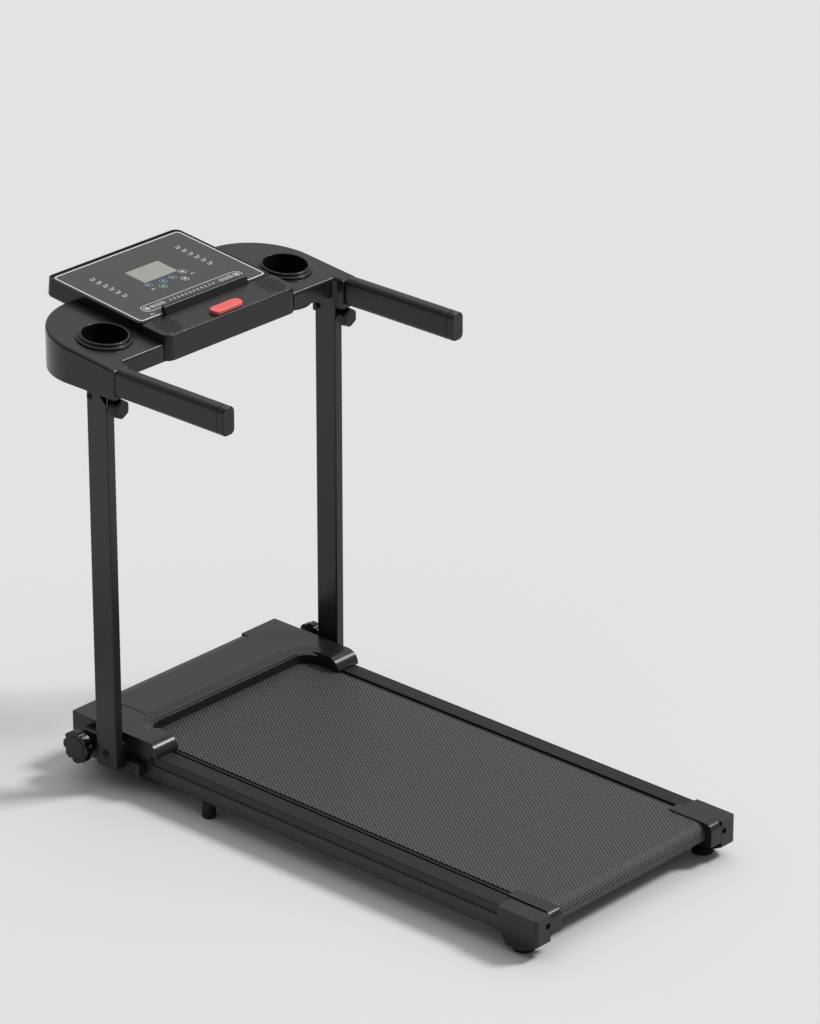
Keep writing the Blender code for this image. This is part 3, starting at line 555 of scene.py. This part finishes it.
def end_caps():
    """Corner mouldings over the tube ends, with the guard that wraps the belt's edge."""
    low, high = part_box("end_cap_right")
    split = 0.2536
    cap = block("cap", (split, low.y, low.z), (high.x, behind(0.0975), 0.0877))
    # the belly: a plane through each place (along, height), with its outward normal (y, z)
    for (along, height), normal in (((0.0, 0.031), (-0.010, -0.020)),
                                    ((0.020, 0.021), (-0.0065, -0.022)),
                                    ((0.042, 0.0145), (-0.0027, -0.022)),
                                    ((0.0764, 0.0135), (0.021, -0.0128)),
                                    ((0.0892, 0.0345), (0.039, -0.0083))):
        slice_at(cap, (0, behind(along), height), (0, *normal), shave=True)
    round_edges(cap, lambda e: runs(e, "Z") and near(centre(e).y, low.y)
                and near(centre(e).x, high.x), 0.008, 6)
    carve(cap, block("seat", (TUBE_IN - 0.0006, behind(0.012), TUBE_LOW - 0.0003),
                     (TUBE_OUT + 0.0003, behind(0.12), TUBE_TOP + 0.0003)))
    guard = block("guard", (0.222, low.y, 0.0417), (split - 0.0006, high.y, high.z))
    round_edges(guard, lambda e: runs(e, "X") and near(centre(e).y, low.y)
                and near(centre(e).z, high.z), 0.018, 8)
    axis = (0.236, behind(0.038), 0.065)
    carve(guard, drum("room", "X", axis, 0.0232, 0.05, 64))
    carve(guard, block("room", (0.20, behind(0.0148), 0.030), (0.262, behind(0.13), 0.065)))
    carve(guard, block("room", (0.20, behind(0.038), 0.060), (0.262, behind(0.13), 0.0882)))
    ease(guard, 0.0014, 3)
    ease(cap, 0.0014, 3)
    carve(cap, drum("hole", "Y", (TENSION_X, behind(0.004), TENSION_Z), 0.0062, 0.020, 32))
    carve(cap, drum("hole", "Y", (TENSION_X, behind(0.030), TENSION_Z), 0.0037, 0.060, 24))
    carve(cap, drum("hole", "Z", (LEVELLING[0], behind(LEVELLING[1]), 0.015), 0.0043, 0.034, 24))
    carve(cap, block("slot", (0.250, behind(0.0314), 0.055), (0.2880, behind(0.0446), 0.0755)))
    screw = turned("screw", [(0, 0.0008), (0.0022, 0.0008), (0.0030, 0.0002), (0.0030, -0.001),
                             (0, -0.001)], 24)
    place(screw, (high.x - 0.0003, behind(0.069), 0.040), "X")
    finish_pair(gather("end_cap", [cap, guard, screw]), "end_cap_moulding", "deck_frame", ABS,
                "black_abs", "end_cap")


def tension_bolts():
    """Socket screws, sunk in the end caps, that pull the rear axle back."""
    screw = button_head("tension", 0.0054, 0.0050, 0.0032, 0.0440)
    place(screw, (TENSION_X, behind(0.0085), TENSION_Z), "Y", -1)
    finish_pair(screw, "tension_screw", "tension_bolt_{side}", BLACK_ZINC, "bright_steel",
                "tension_bolt")


def feet():
    foot = turned("foot", [(0, 0), (0.0118, 0), (0.0132, 0.0008), (0.0148, 0.004), (0.0148, 0.006),
                           (0.0130, 0.0335), (0.0122, 0.0342), (0, 0.0342)], 48)
    place(foot, (0.2825, behind(0.871), 0))
    finish_pair(foot, "rubber_foot", "deck_frame", RUBBER, "rubber", "front_foot")

    disc = drum("disc", "Z", (0, 0, 0.0057), 0.0207, 0.0110, 72)
    inset(disc, lambda f: abs(f.normal.z) < 0.5 and int(f.calc_center_median().xy.angle_signed(
        Vector((1, 0.001))) * 36 / math.pi) % 2 == 0, 0.0001, 0.0011)
    ease(disc, 0.0006, 2, 50)
    stem = drum("stem", "Z", (0, 0, 0.0200), 0.0040, 0.0198, 24)
    levelling = gather("levelling", [disc, stem])
    place(levelling, (LEVELLING[0], behind(LEVELLING[1]), 0))
    finish_pair(levelling, "knurled_foot", "levelling_foot_{side}", RUBBER, "rubber",
                "levelling_foot")


def transport_wheels():
    low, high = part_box("transport_wheel_right")
    half, radius = (high.x - low.x) / 2, (high.z - low.z) / 2
    profile = [(0.0043, -half), (0.009, -half), (0.0095, -half + 0.0015), (0.0128, -half + 0.0015),
               (0.0135, -half), (radius - 0.0012, -half), (radius, -half + 0.0012)]
    profile += [(radius, -0.0020), (radius - 0.001, -0.0014)]
    profile += [(r, -h) for r, h in reversed(profile)]
    wheel = turned("wheel", profile + [(0.0043, -half)], 48)
    place(wheel, (low + high) / 2, "X")
    finish_pair(wheel, "transport_wheel_tyre", "transport_wheel_{side}", DEEP_ABS, "black_abs",
                "transport_wheel")


# ---- motor bay -----------------------------------------------------------------------------
def motor_hood():
    """Thin moulded cover with an arm on each side of the belt and a bevelled rear lip."""
    low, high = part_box("motor_hood")
    rear, front, top = behind(1.0935), high.y, high.z
    arm_in, arm_rear = 0.2345, low.y
    corner = 0.034                             # radius of the bay's front corners
    lip = 0.088                                # height of the top shell's lower edge
    hood = block("hood", (-high.x, arm_rear, lip), (high.x, front, top))
    bay = block("bay", (-arm_in, arm_rear - 0.05, 0.05), (arm_in, rear, 0.15))
    round_edges(bay, lambda e: runs(e, "Z") and centre(e).y > rear - 0.001, corner, 12)
    carve(hood, bay)

    def inner_edge(edge):
        ends = [v.co for v in edge.verts]
        return all(near(p.z, top) and abs(p.x) < arm_in + 0.001
                   and rear - corner - 0.0005 < p.y < rear + 0.001 for p in ends)
    lip_width, squash = 0.0245, 2.8            # the slope is this much wider than it is deep
    stretch(hood, squash, top)
    round_edges(hood, inner_edge, lip_width, 1, clamp=False)
    stretch(hood, 1 / squash, top)
    nose = 0.0272
    round_edges(hood, lambda e: runs(e, "X") and near(centre(e).y, arm_rear) and
                near(centre(e).z, top), nose, 10)

    drop = block("drop", (-0.195, behind(1.2200), top - 0.0045), (0.195, front + 0.01, top + 0.01))
    shift(drop, "VERT", lambda v: v.co.z < top and v.co.y < front, (0, 0, 0.0040))
    carve(hood, drop)
    set_back = (-0.195, behind(1.2365), 0.02), (0.195, front + 0.01, 0.2)
    carve(hood, block("set_back", *set_back))

    walls = block("walls", (-high.x, behind(1.2075), low.z), (high.x, front, lip + 0.001))
    carve(walls, block("set_back", *set_back))
    weld(hood, walls)
    for s in (-1, 1):
        skirt = block("skirt", (s * 0.2920, behind(1.020), 0.069),
                      (s * high.x, behind(1.2080), lip + 0.001))
        weld(hood, skirt)
    ease(hood, 0.0022, 3, 32)
    cover = block("cover", (-0.2080, behind(1.1200), top - 0.0020),
                  (0.2080, behind(1.2210), top + 0.0010))
    ease(cover, 0.0007, 3)
    weld(hood, cover)
    carve(hood, block("room", (-0.2915, behind(1.0975), 0.02), (0.2915, behind(1.2330), 0.1085)))
    room_in, room_out = 0.2375, 0.2915         # hollow of the arms over the foot rails
    for s in (-1, 1):
        carve(hood, block("room", (s * room_in, behind(1.030), 0.06),
                          (s * room_out, behind(1.10), 0.1100)))
    for low_x, high_x, low_z, high_z in ((-0.1770, -0.1520, 0.0475, 0.0645),
                                         (-0.1360, -0.1060, 0.0455, 0.0665)):
        carve(hood, block("window", (low_x, behind(1.22), low_z), (high_x, behind(1.25), high_z)))
    finish(hood, "deck_frame", ABS, "black_abs", "motor_hood")


# ---- uprights and knobs --------------------------------------------------------------------
def uprights():
    """Flat steel tubes with a slotted tab at the foot for the lock knob's shank."""
    low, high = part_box("upright_right")
    rear, front = behind(1.0796), behind(1.1357)
    post = block("post", (0.312, rear, low.z), (0.334, front, high.z))
    round_edges(post, lambda e: runs(e, "Z"), 0.0035, 5)
    inset(post, lambda f: abs(f.normal.z) > 0.9, 0.002, -0.025)
    slice_at(post, (0, rear, high.z - 0.020), (0, -1, 1), shave=True)
    tab = block("tab", (0.3123, front - 0.003, 0.0590), (0.3173, behind(1.2000), 0.1010))
    round_edges(tab, lambda e: runs(e, "X") and centre(e).y > front, 0.008, 6)
    slot_y, slot_z = behind(LOCK[0]), LOCK[1]
    carve(tab, block("slot", (0.30, slot_y - 0.0060, 0.03), (0.33, slot_y + 0.0060, slot_z)))
    carve(tab, drum("slot", "X", (0.315, slot_y, slot_z), 0.0064, 0.03, 32))
    ease(tab, 0.0006, 2)
    weld(post, tab)
    for along, height, radius in ((PIVOT[0], PIVOT[1], 0.0043), (*CONSOLE_PIVOT, 0.0035)):
        carve(post, drum("hole", "X", (POST_X, behind(along), height), radius, 0.05, 24))
    carve(post, drum("hole", "Y", (POST_X, behind(1.085), CONSOLE_KNOB_Z), 0.0043, 0.03, 24))
    finish_pair(post, "upright_tube", "uprights", STEEL_COAT, "powder_steel", "upright")


def button_head(name, radius, height, shank_radius, shank, end=()):
    """Domed screw head with a hex socket and a plain shank below it, round the origin."""
    dome = [(radius * math.sin(a), height * math.cos(a)) for a in
            [math.radians(35 + 11 * i) for i in range(6)]]
    profile = [(0, height * 0.8)] + dome + [(radius, 0), (shank_radius, 0), (shank_radius, -shank)]
    profile += list(end) + [(0, profile[-1][1] if not end else end[-1][1])]
    head = turned(name, profile, 48)
    socket = drum("socket", "Z", (0, 0, height), radius * 0.42, height * 1.1, 6)
    carve(head, socket)
    ease(head, 0.0003, 2, 40)
    return head


def fold_bolts():
    low = button_head("pivot", 0.0085, 0.0045, 0.0040, 0.0375)
    place(low, (BOLT_X, behind(PIVOT[0]), PIVOT[1]), "X")
    finish_pair(low, "pivot_screw", "deck_frame", BLACK_ZINC, "bright_steel", "pivot_bolt")
    nut = [(0.0032, -0.0262), (0.0060, -0.0262), (0.0060, -0.0315)]
    high = button_head("console", 0.0065, 0.0040, 0.0032, 0.0262, nut)
    place(high, (BOLT_X, behind(CONSOLE_PIVOT[0]), CONSOLE_PIVOT[1]), "X")
    finish_pair(high, "console_screw", "uprights", BLACK_ZINC, "bright_steel", "console_bolt")


def lobed(name, lobes, radius, valley, bite, length, base):
    """Knob head: a disc with round bites between its lobes, from base along Z."""
    head = drum(name, "Z", (0, 0, base + length / 2), radius, length, 96)
    for k in range(lobes):
        angle = 2 * math.pi * (k + 0.5) / lobes
        spot = (valley + bite) * math.cos(angle), (valley + bite) * math.sin(angle), base + length / 2
        carve(head, drum("bite", "Z", spot, bite, length * 2, 32))
    return head


def knobs():
    """Lobed lock knobs at the foot of the uprights and six-lobed knobs under the grips."""
    head = lobed("lock", 8, 0.0345, 0.0300, 0.0062, 0.0163, 0.0170)
    ease(head, 0.0018, 4, 50)
    face = drum("face", "Z", (0, 0, 0.0338), 0.0235, 0.0014, 64)
    ease(face, 0.0006, 3)
    hub = drum("hub", "Z", (0, 0, 0.0087), 0.0150, 0.0173, 48, tip=0.0130)
    shank = drum("shank", "Z", (0, 0, -0.009), 0.0040, 0.020, 24)
    knob = gather("lock", [head, face, hub, shank])
    place(knob, (0.3180, behind(LOCK[0]), LOCK[1]), "X")
    finish_pair(knob, "lock_knob_lobed", "lock_knob_{side}", DEEP_ABS, "black_abs", "lock_knob")

    head = drum("hex", "Z", (0, 0, 0.0200), 0.0230, 0.0160, 6, tip=0.0205)
    round_edges(head, lambda e: not near(e.verts[0].co.z, e.verts[1].co.z), 0.0045, 5)
    ease(head, 0.0016, 4, 30)
    face = drum("face", "Z", (0, 0, 0.0284), 0.0140, 0.0012, 48)
    ease(face, 0.0005, 3)
    neck = drum("neck", "Z", (0, 0, 0.0065), 0.0100, 0.0120, 40, tip=0.0115)
    shank = drum("shank", "Z", (0, 0, -0.009), 0.0040, 0.020, 24)
    knob = gather("hex", [head, face, neck, shank])
    place(knob, (POST_X, behind(1.0750), CONSOLE_KNOB_Z), "Y", -1)
    finish_pair(knob, "console_knob_hex", "console_knob_{side}", DEEP_ABS, "black_abs",
                "console_knob")


# ---- console -------------------------------------------------------------------------------
def handles():
    """Foam sleeves over the oval bars, each closed by a moulded plug."""
    low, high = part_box("grip_right")
    sleeve = block("sleeve", low, high)
    round_edges(sleeve, lambda e: runs(e, "Y"), 0.0118, 8)
    inset(sleeve, lambda f: abs(f.normal.y) > 0.9, 0.0060, -0.010)
    ease(sleeve, 0.0010, 2, 50)
    finish_pair(sleeve, "foam_sleeve", "console", FOAM, "grip_foam", "grip")

    low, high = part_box("grip_cap_right")
    plug = block("plug", low, (high.x, high.y - 0.0003, high.z))
    round_edges(plug, lambda e: runs(e, "Y"), 0.0118, 8)
    round_edges(plug, lambda e: all(near(v.co.y, low.y) for v in e.verts), 0.0030, 4)
    round_edges(plug, lambda e: all(near(v.co.y, high.y - 0.0003) for v in e.verts), 0.0006, 2)
    finish_pair(plug, "end_plug", "console", ABS, "black_abs", "grip_cap")


def casing_top(y):
    """Height of the arm casings' top at a place along the machine."""
    return 0.926 + (y - behind(1.07)) * CASING_SLOPE


def arm_casings():
    """Side casings: one big round front corner, and a boss that the handle bar leaves by."""
    low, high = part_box("arm_casing_right")
    rear, boss_rear, boss_in = behind(1.071), low.y, 0.303
    casing = block("casing", (low.x, rear, low.z), (high.x, high.y, high.z + 0.02))
    round_edges(casing, lambda e: runs(e, "Z") and near(centre(e).x, high.x)
                and near(centre(e).y, high.y), 0.145, 32)
    slice_at(casing, (boss_in, 0, 0), (1, 0, 0))
    extrude(casing, lambda f: f.normal.y < -0.9 and centre(f).x > boss_in,
            (0, boss_rear - rear, 0))
    round_edges(casing, lambda e: runs(e, "Z") and near(centre(e).x, boss_in)
                and near(centre(e).y, rear), 0.010, 6)
    slice_at(casing, (0, rear, casing_top(rear)), (0, -CASING_SLOPE, 1), shave=True)
    cup = Vector((CUP[0], behind(CUP[1]), 0))
    carve(casing, drum("well", "Z", (cup.x, cup.y, 0.93), 0.0502, 0.2, 96))

    def top_rim(edge):
        ends = [v.co for v in edge.verts]
        on_top = all(near(p.z, casing_top(p.y), 0.0002) for p in ends)
        inner = all(near(p.x, low.x) for p in ends)
        hole = all((p.xy - cup.xy).length < 0.051 for p in ends)
        return on_top and not inner and not hole and edge.calc_face_angle(0) > 0.5
    round_edges(casing, top_rim, 0.0065, 6)
    round_edges(casing, lambda e: all(near(v.co.y, boss_rear) for v in e.verts), 0.003, 4)
    ease(casing, 0.0012, 2, 50)
    notch_back = behind(1.0795)
    carve(casing, block("notch", (0.18, behind(1.05), 0.85), (0.2985, notch_back, 0.890)))
    carve(casing, block("notch", (0.18, behind(1.05), 0.85), (0.196, behind(1.34), 0.890)))
    remove_faces(casing, lambda f: f.normal.z < -0.9 or
                 (f.normal.x < -0.9 and near(centre(f).x, 0.196)) or
                 (f.normal.y < -0.9 and near(centre(f).y, notch_back) and centre(f).z < 0.889))
    apply_step(casing, "SOLIDIFY", thickness=0.0026, offset=-1)
    finish_pair(casing, "arm_shell", "console", ABS, "black_abs", "arm_casing")


def cup_holders():
    """Stepped inserts: a flange on the casing, a raised lip and a deep dark cup."""
    top = 0.93577                               # casing top at the cup's axis
    profile = [(0.0500, 0.0094), (0.0510, 0.0086), (0.0518, 0.0050), (0.0526, 0.0042),
               (0.0563, 0.0036), (0.0570, 0.0028), (0.0570, 0.0004), (0.0478, 0.0002),
               (0.0462, -0.0480), (0.0440, -0.0480), (0, -0.0480)]
    inside = [(0, -0.0455), (0.0425, -0.0455), (0.0436, -0.0440), (0.0455, 0.0080),
              (0.0460, 0.0092), (0.0470, 0.0100), (0.0490, 0.0100), (0.0500, 0.0094)]
    insert = turned("insert", list(reversed(profile)) + list(reversed(inside)), 96)
    settle(insert, (CUP[0], behind(CUP[1]), top), (math.atan(CASING_SLOPE), 0, 0))
    tidy_mesh(insert)
    finish_pair(insert, "cup_insert", "console", DEEP_ABS, "black_abs", "cup_holder", angle=40)


def face_height(y):
    return FACE.z + (y - FACE.y) * math.tan(TILT)


def console_base():
    """Lower housing: the deck behind the display and the tray that the display stands on."""
    low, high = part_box("console_base")
    half, step, lowered = high.x, behind(1.1295), 0.0003
    slope = (0, -math.tan(TILT), 1)
    deck = block("deck", (-half, low.y, low.z), (half, step, low.z + 0.09))
    slice_at(deck, (0, step, face_height(step) - lowered), slope, shave=True)
    round_edges(deck, lambda e: runs(e, "Z") and near(centre(e).y, low.y), 0.020, 10)
    seat = 0.0416
    tray = block("tray", (-half, step - 0.002, low.z), (half, high.y, low.z + 0.09))
    slice_at(tray, (0, step, face_height(step) - seat), slope, shave=True)
    round_edges(tray, lambda e: runs(e, "Z") and near(centre(e).y, high.y), 0.030, 10)
    weld(deck, tray)
    round_edges(deck, lambda e: all(near(v.co.z, face_height(v.co.y) - lowered) for v in e.verts)
                and centre(e).y < step - 0.001 and e.calc_face_angle(0) > 0.5, 0.0026, 4)
    remove_faces(deck, lambda f: f.normal.z < -0.9)
    apply_step(deck, "SOLIDIFY", thickness=0.0026, offset=-1)
    finish(deck, "console", ABS, "black_abs", "console_base")


def console_head():
    """Display head: a thick tray with a shallow recess for the printed film."""
    half, rear, front, depth = 0.1835, -0.011, 0.2595, 0.041
    head = block("display_housing", (-half, rear, -depth), (half, front, 0))
    round_edges(head, lambda e: runs(e, "Z"), 0.016, 10)
    round_edges(head, lambda e: all(near(v.co.z, -depth) for v in e.verts), 0.0070, 5)
    round_edges(head, lambda e: all(near(v.co.z, 0) for v in e.verts)
                and centre(e).y > rear + 0.001, 0.0018, 3)
    inset(head, lambda f: f.normal.z > 0.9 and f.calc_area() > 0.01, 0.0026)
    inset(head, lambda f: f.normal.z > 0.9 and f.calc_area() > 0.01, 0.0002, -0.0024)
    on_face(head)
    finish(head, "console", DEEP_ABS, "black_abs", "console_head")


def printed(name, pieces, ink):
    """Join flat shapes drawn on the face, give them an ink's thickness and lay them down."""
    marks = gather(name, pieces)
    pick(marks, "FACE", lambda f: f.normal.z < 0)
    bpy.ops.mesh.flip_normals()
    alone(marks)
    apply_step(marks, "SOLIDIFY", thickness=0.0001, offset=1)
    on_face(marks)
    finish(marks, "console", ink, "panel_gloss")


def flat(name, x0, x1, y0, y1, radius=0.0):
    """Flat rectangle with round corners, in the display face's own frame."""
    bpy.ops.object.select_all(action="DESELECT")
    bpy.ops.mesh.primitive_plane_add(size=1, location=((x0 + x1) / 2, (y0 + y1) / 2, 0))
    sheet = bpy.context.object
    sheet.scale = (abs(x1 - x0), abs(y1 - y0), 1)
    added(name)
    if radius:
        pick(sheet, "VERT", lambda v: True)
        bpy.ops.mesh.bevel(offset=radius, segments=6, affect="VERTICES")
        alone(sheet)
    return sheet


def outline(name, x0, x1, y0, y1, radius, width):
    """Line of a given width round a rectangle with round corners."""
    line = flat(name, x0, x1, y0, y1, radius)
    inset(line, lambda f: True, width)
    area = max(f.area for f in line.data.polygons)
    remove_faces(line, lambda f: near(f.calc_area(), area, 1e-9))
    return line


def ring(name, x, y, radius, width):
    sides = 24
    line = disc(name, x, y, radius, sides)
    inset(line, lambda f: True, width)
    remove_faces(line, lambda f: len(f.verts) == sides)
    return line


def disc(name, x, y, radius, sides=16):
    bpy.ops.object.select_all(action="DESELECT")
    bpy.ops.mesh.primitive_circle_add(vertices=sides, radius=radius, fill_type="NGON",
                                      location=(x, y, 0))
    return added(name)


def display():
    """Film with a printed outline, and the display window."""
    film = flat("film", -0.1787, 0.1787, -0.0045, 0.2512, 0.0117)
    apply_step(film, "SOLIDIFY", thickness=0.0019, offset=1)
    shift(film, "VERT", lambda v: True, (0, 0, -0.0020))
    carve(film, block("window", (-0.0468, 0.1180, -0.01), (0.0468, 0.1765, 0.01)))
    ease(film, 0.0003, 2, 60)
    on_face(film)
    finish(film, "console", FILM, "panel_gloss", "display_panel")

    glass = block("glass", (-0.0465, 0.1183, -0.0050), (0.0465, 0.1762, -0.0006))
    ease(glass, 0.0004, 2)
    on_face(glass)
    finish(glass, "console", LCD, "display_glass", "lcd_window")

    line = outline("border", -0.1750, 0.1750, -0.0010, 0.2475, 0.0095, 0.0024)
    printed("film_outline", [line], WHITE_INK)


def key_marks():
    """Two columns of small generic marks, one on each side of the window."""
    marks = []
    for s in (-1, 1):
        for k in range(6):
            x, y = s * 0.1200, 0.0985 + 0.0182 * k
            marks.append(flat("bar", x - 0.0062, x + 0.0050, y - 0.0010, y + 0.0012))
            marks.append(disc("dot", x + 0.0062, y + 0.0058, 0.0022))
            marks.append(flat("tick", x - 0.0052, x + 0.0018, y + 0.0046, y + 0.0064))
    printed("key_marks", marks, GREY_INK)


def speed_strip():
    """Long pill: speed ticks in the middle, then shuttles and a stop ring at each end."""
    middle, x_end, stop_x = 0.0330, 0.1385, 0.1260
    pill = [outline("pill", -x_end, x_end, middle - 0.0130, middle + 0.0130, 0.0128, 0.0012)]
    for k in range(12):
        x = -0.0600 + 0.0109 * k
        pill.append(flat("speed", x - 0.0021, x + 0.0021, middle - 0.0026, middle - 0.0010))
        pill.append(flat("speed", x - 0.0008, x + 0.0008, middle + 0.0002, middle + 0.0036))
    for s in (-1, 1):
        pill.append(ring("stop", s * stop_x, middle, 0.0072, 0.0012))
        pill.append(flat("stop", s * stop_x - 0.0026, s * stop_x + 0.0026,
                         middle - 0.0026, middle + 0.0026))
        for k in range(3):
            x = s * (0.1090 - 0.0130 * k)
            pill.append(outline("shuttle", x - 0.0052, x + 0.0052, middle - 0.0048, middle + 0.0048,
                                0.0020, 0.0010))
            pill.append(flat("dash", x - 0.0026, x + 0.0026, middle - 0.0008, middle + 0.0008))
    printed("speed_strip", pill, WHITE_INK)


def key_rings():
    """Round keys between the window and the speed strip, each group in its own ink."""
    rings = {"mode_rings": (GREY_INK, ((0.0491, 0.1087), (0.0307, 0.0832))),
             "set_rings": (BLUE_INK, ((-0.0481, 0.1072), (-0.0123, 0.1008), (0.0142, 0.1017))),
             "start_ring": (GREEN_INK, ((-0.0288, 0.0843),))}
    for name, (ink, spots) in rings.items():
        parts = []
        for x, y in spots:
            parts.append(ring("ring", x, y, 0.0086, 0.0012))
            parts.append(disc("dot", x, y, 0.0034))
        printed(name, parts, ink)


def arrow_marks():
    arrows = []
    for x, y in ((-0.0551, 0.0879), (0.0578, 0.0906), (-0.1357, 0.0091)):
        arrows.append(disc("arrow", x, y, 0.0034, 3))
        arrows.append(flat("stem", x + 0.0040, x + 0.0078, y - 0.0009, y + 0.0009))
    printed("arrow_marks", arrows, GREY_INK)


def ledge_and_key():
    """Ledge that holds a tablet, its back leaning towards the deck, and the red safety key."""
    ledge = block("ledge", (-0.1165, -0.0120, 0.0003), (0.1180, 0.0050, 0.0150))
    shift(ledge, "VERT", lambda v: v.co.z > 0.01 and v.co.y < 0, (0, 0.0090, 0))
    round_edges(ledge, lambda e: not near(e.verts[0].co.z, e.verts[1].co.z), 0.0040, 5)
    round_edges(ledge, lambda e: all(near(v.co.z, 0.0150) for v in e.verts), 0.0022, 4)
    on_face(ledge)
    finish(ledge, "console", DEEP_ABS, "black_abs", "tablet_ledge")

    key = block("key", (-0.0410, -0.0745, -0.0002), (0.0410, -0.0485, 0.0072))
    round_edges(key, lambda e: runs(e, "Z"), 0.0128, 10)
    round_edges(key, lambda e: all(near(v.co.z, 0.0072) for v in e.verts), 0.0022, 4)
    bars = []
    for x in (-0.014, -0.007, 0.0, 0.007, 0.014):
        bars.append(block("bar", (x - 0.0014, -0.0655, 0.0070), (x + 0.0014, -0.0575, 0.0074)))
    on_face(key)
    finish(key, "safety_key", RED, "key_red", "safety_key")
    grip_bars = on_face(gather("key_bars", bars))
    finish(grip_bars, "safety_key", RED, "key_red")


def speaker_grilles():
    """Fields of small discs on the deck, one at each end, painted nearly black as the shade inside
    speaker holes.
    """
    holes = []
    pitch, half_x, half_y = 0.0064, 0.0265, 0.0335
    row_step = pitch * 0.866                   # rows are staggered, so every gap is one pitch
    for row in range(13):
        for column in range(9):
            x = (column - 4) * pitch + (row % 2) * pitch / 2
            y = (row - 6) * row_step
            if (x / half_x) ** 2 + (y / half_y) ** 2 < 1:
                holes.append(disc("hole", 0.1455 + x, -0.0430 + y, 0.0021, 10))
    field = gather("field", holes)
    apply_step(field, "SOLIDIFY", thickness=0.0004, offset=0)
    shift(field, "VERT", lambda v: True, (0, 0, -0.0003))
    on_face(field)
    # painted shade: the uncut discs stand for the dark inside the holes
    finish_pair(field, "speaker_holes", "console", PAINTED_HOLE_SHADE, "black_abs")


# ---- CAD nodes that keep their shape -------------------------------------------------------
def carried():
    """Give the hidden and plain nodes their finishes."""
    looks = {
        STEEL_COAT: ("rear_crossbar", "middle_crossbar", "front_crossbar", "handlebar_frame",
                     "console_bracket_left", "console_bracket_right", "drive_motor"),
        ROLLER_STEEL: ("rear_roller", "front_roller"),
        ZINC: ("rear_axle", "front_axle", "motor_pulley"),
        DEEP_ABS: ("bottom_pan", "power_inlet", "front_pulley"),
        RUBBER: ("drive_belt",),
        BOARD: ("running_deck",),
        CIRCUIT: ("control_board", "console_circuit_board"),
        RED: ("power_switch",),
    }
    for material, nodes in looks.items():
        for node in nodes:
            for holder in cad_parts[node].material_slots:
                holder.material = material


# ---- studio --------------------------------------------------------------------------------
def studio():
    """Pale floor, graded sky, a key light from the right rear, a soft light above, and the camera."""
    bpy.ops.object.select_all(action="DESELECT")
    bpy.ops.mesh.primitive_plane_add(size=80)
    floor = added("studio_floor")
    made, tree = start_material("matt_studio_floor")
    where = add_node(tree, "TexCoord").outputs["Object"]
    drift = add_node(tree, "TexNoise", {"Vector": where, "Scale": 0.4})
    tone = add_node(tree, "MixRGB", {0: drift.outputs["Fac"], 1: linear("#d9d9d9"),
                                     2: linear("#dcdcdc")})
    close_material(tree, Base_Color=tone.outputs[0], Roughness=0.9)
    floor.data.materials.append(made)

    world = bpy.data.worlds.new("studio")
    bpy.context.scene.world = world
    world.use_nodes = True
    sky = world.node_tree
    sky.nodes["Background"].inputs["Color"].default_value = linear("#f2f2f2")
    bright_side = (0.70, 0.55, 0.45)           # the sky is brightest towards the front right
    sky_place = add_node(sky, "TexCoord").outputs["Generated"]
    facing = add_node(sky, "VectorMath", {0: sky_place, 1: bright_side}, operation="DOT_PRODUCT")
    strength = add_node(sky, "MapRange", {0: facing.outputs["Value"], 1: -1.0, 2: 1.0,
                                          3: 0.02, 4: 0.74})
    sky.links.new(strength.outputs[0], sky.nodes["Background"].inputs["Strength"])

    for name, towards, energy, spread in (("key_light", (-0.55, 0.38, -0.74), 2.15, 14),
                                          ("soft_light", (-0.30, -0.10, -0.94), 0.48, 60)):
        data = bpy.data.lights.new(name, "SUN")
        data.energy = energy
        data.angle = math.radians(spread)
        lamp = bpy.data.objects.new(name, data)
        bpy.context.scene.collection.objects.link(lamp)
        lamp.rotation_euler = Vector(towards).to_track_quat("-Z", "Y").to_euler()

    data = bpy.data.cameras.new("camera")
    data.lens = 177.05
    data.clip_end = 200
    camera = bpy.data.objects.new("camera", data)
    bpy.context.scene.collection.objects.link(camera)
    camera.location = (-6.5722, -6.1097, 4.6263)
    camera.rotation_euler = (math.radians(65.936), 0, math.radians(-47.6205))
    bpy.context.scene.camera = camera
    bpy.context.scene.view_settings.view_transform = "Standard"


studio()
side_tubes()
foot_rails()
running_belt()
end_caps()
feet()
transport_wheels()
motor_hood()
uprights()
fold_bolts()
tension_bolts()
knobs()
handles()
arm_casings()
cup_holders()
console_base()
console_head()
display()
key_marks()
speed_strip()
key_rings()
arrow_marks()
ledge_and_key()
speaker_grilles()
carried()
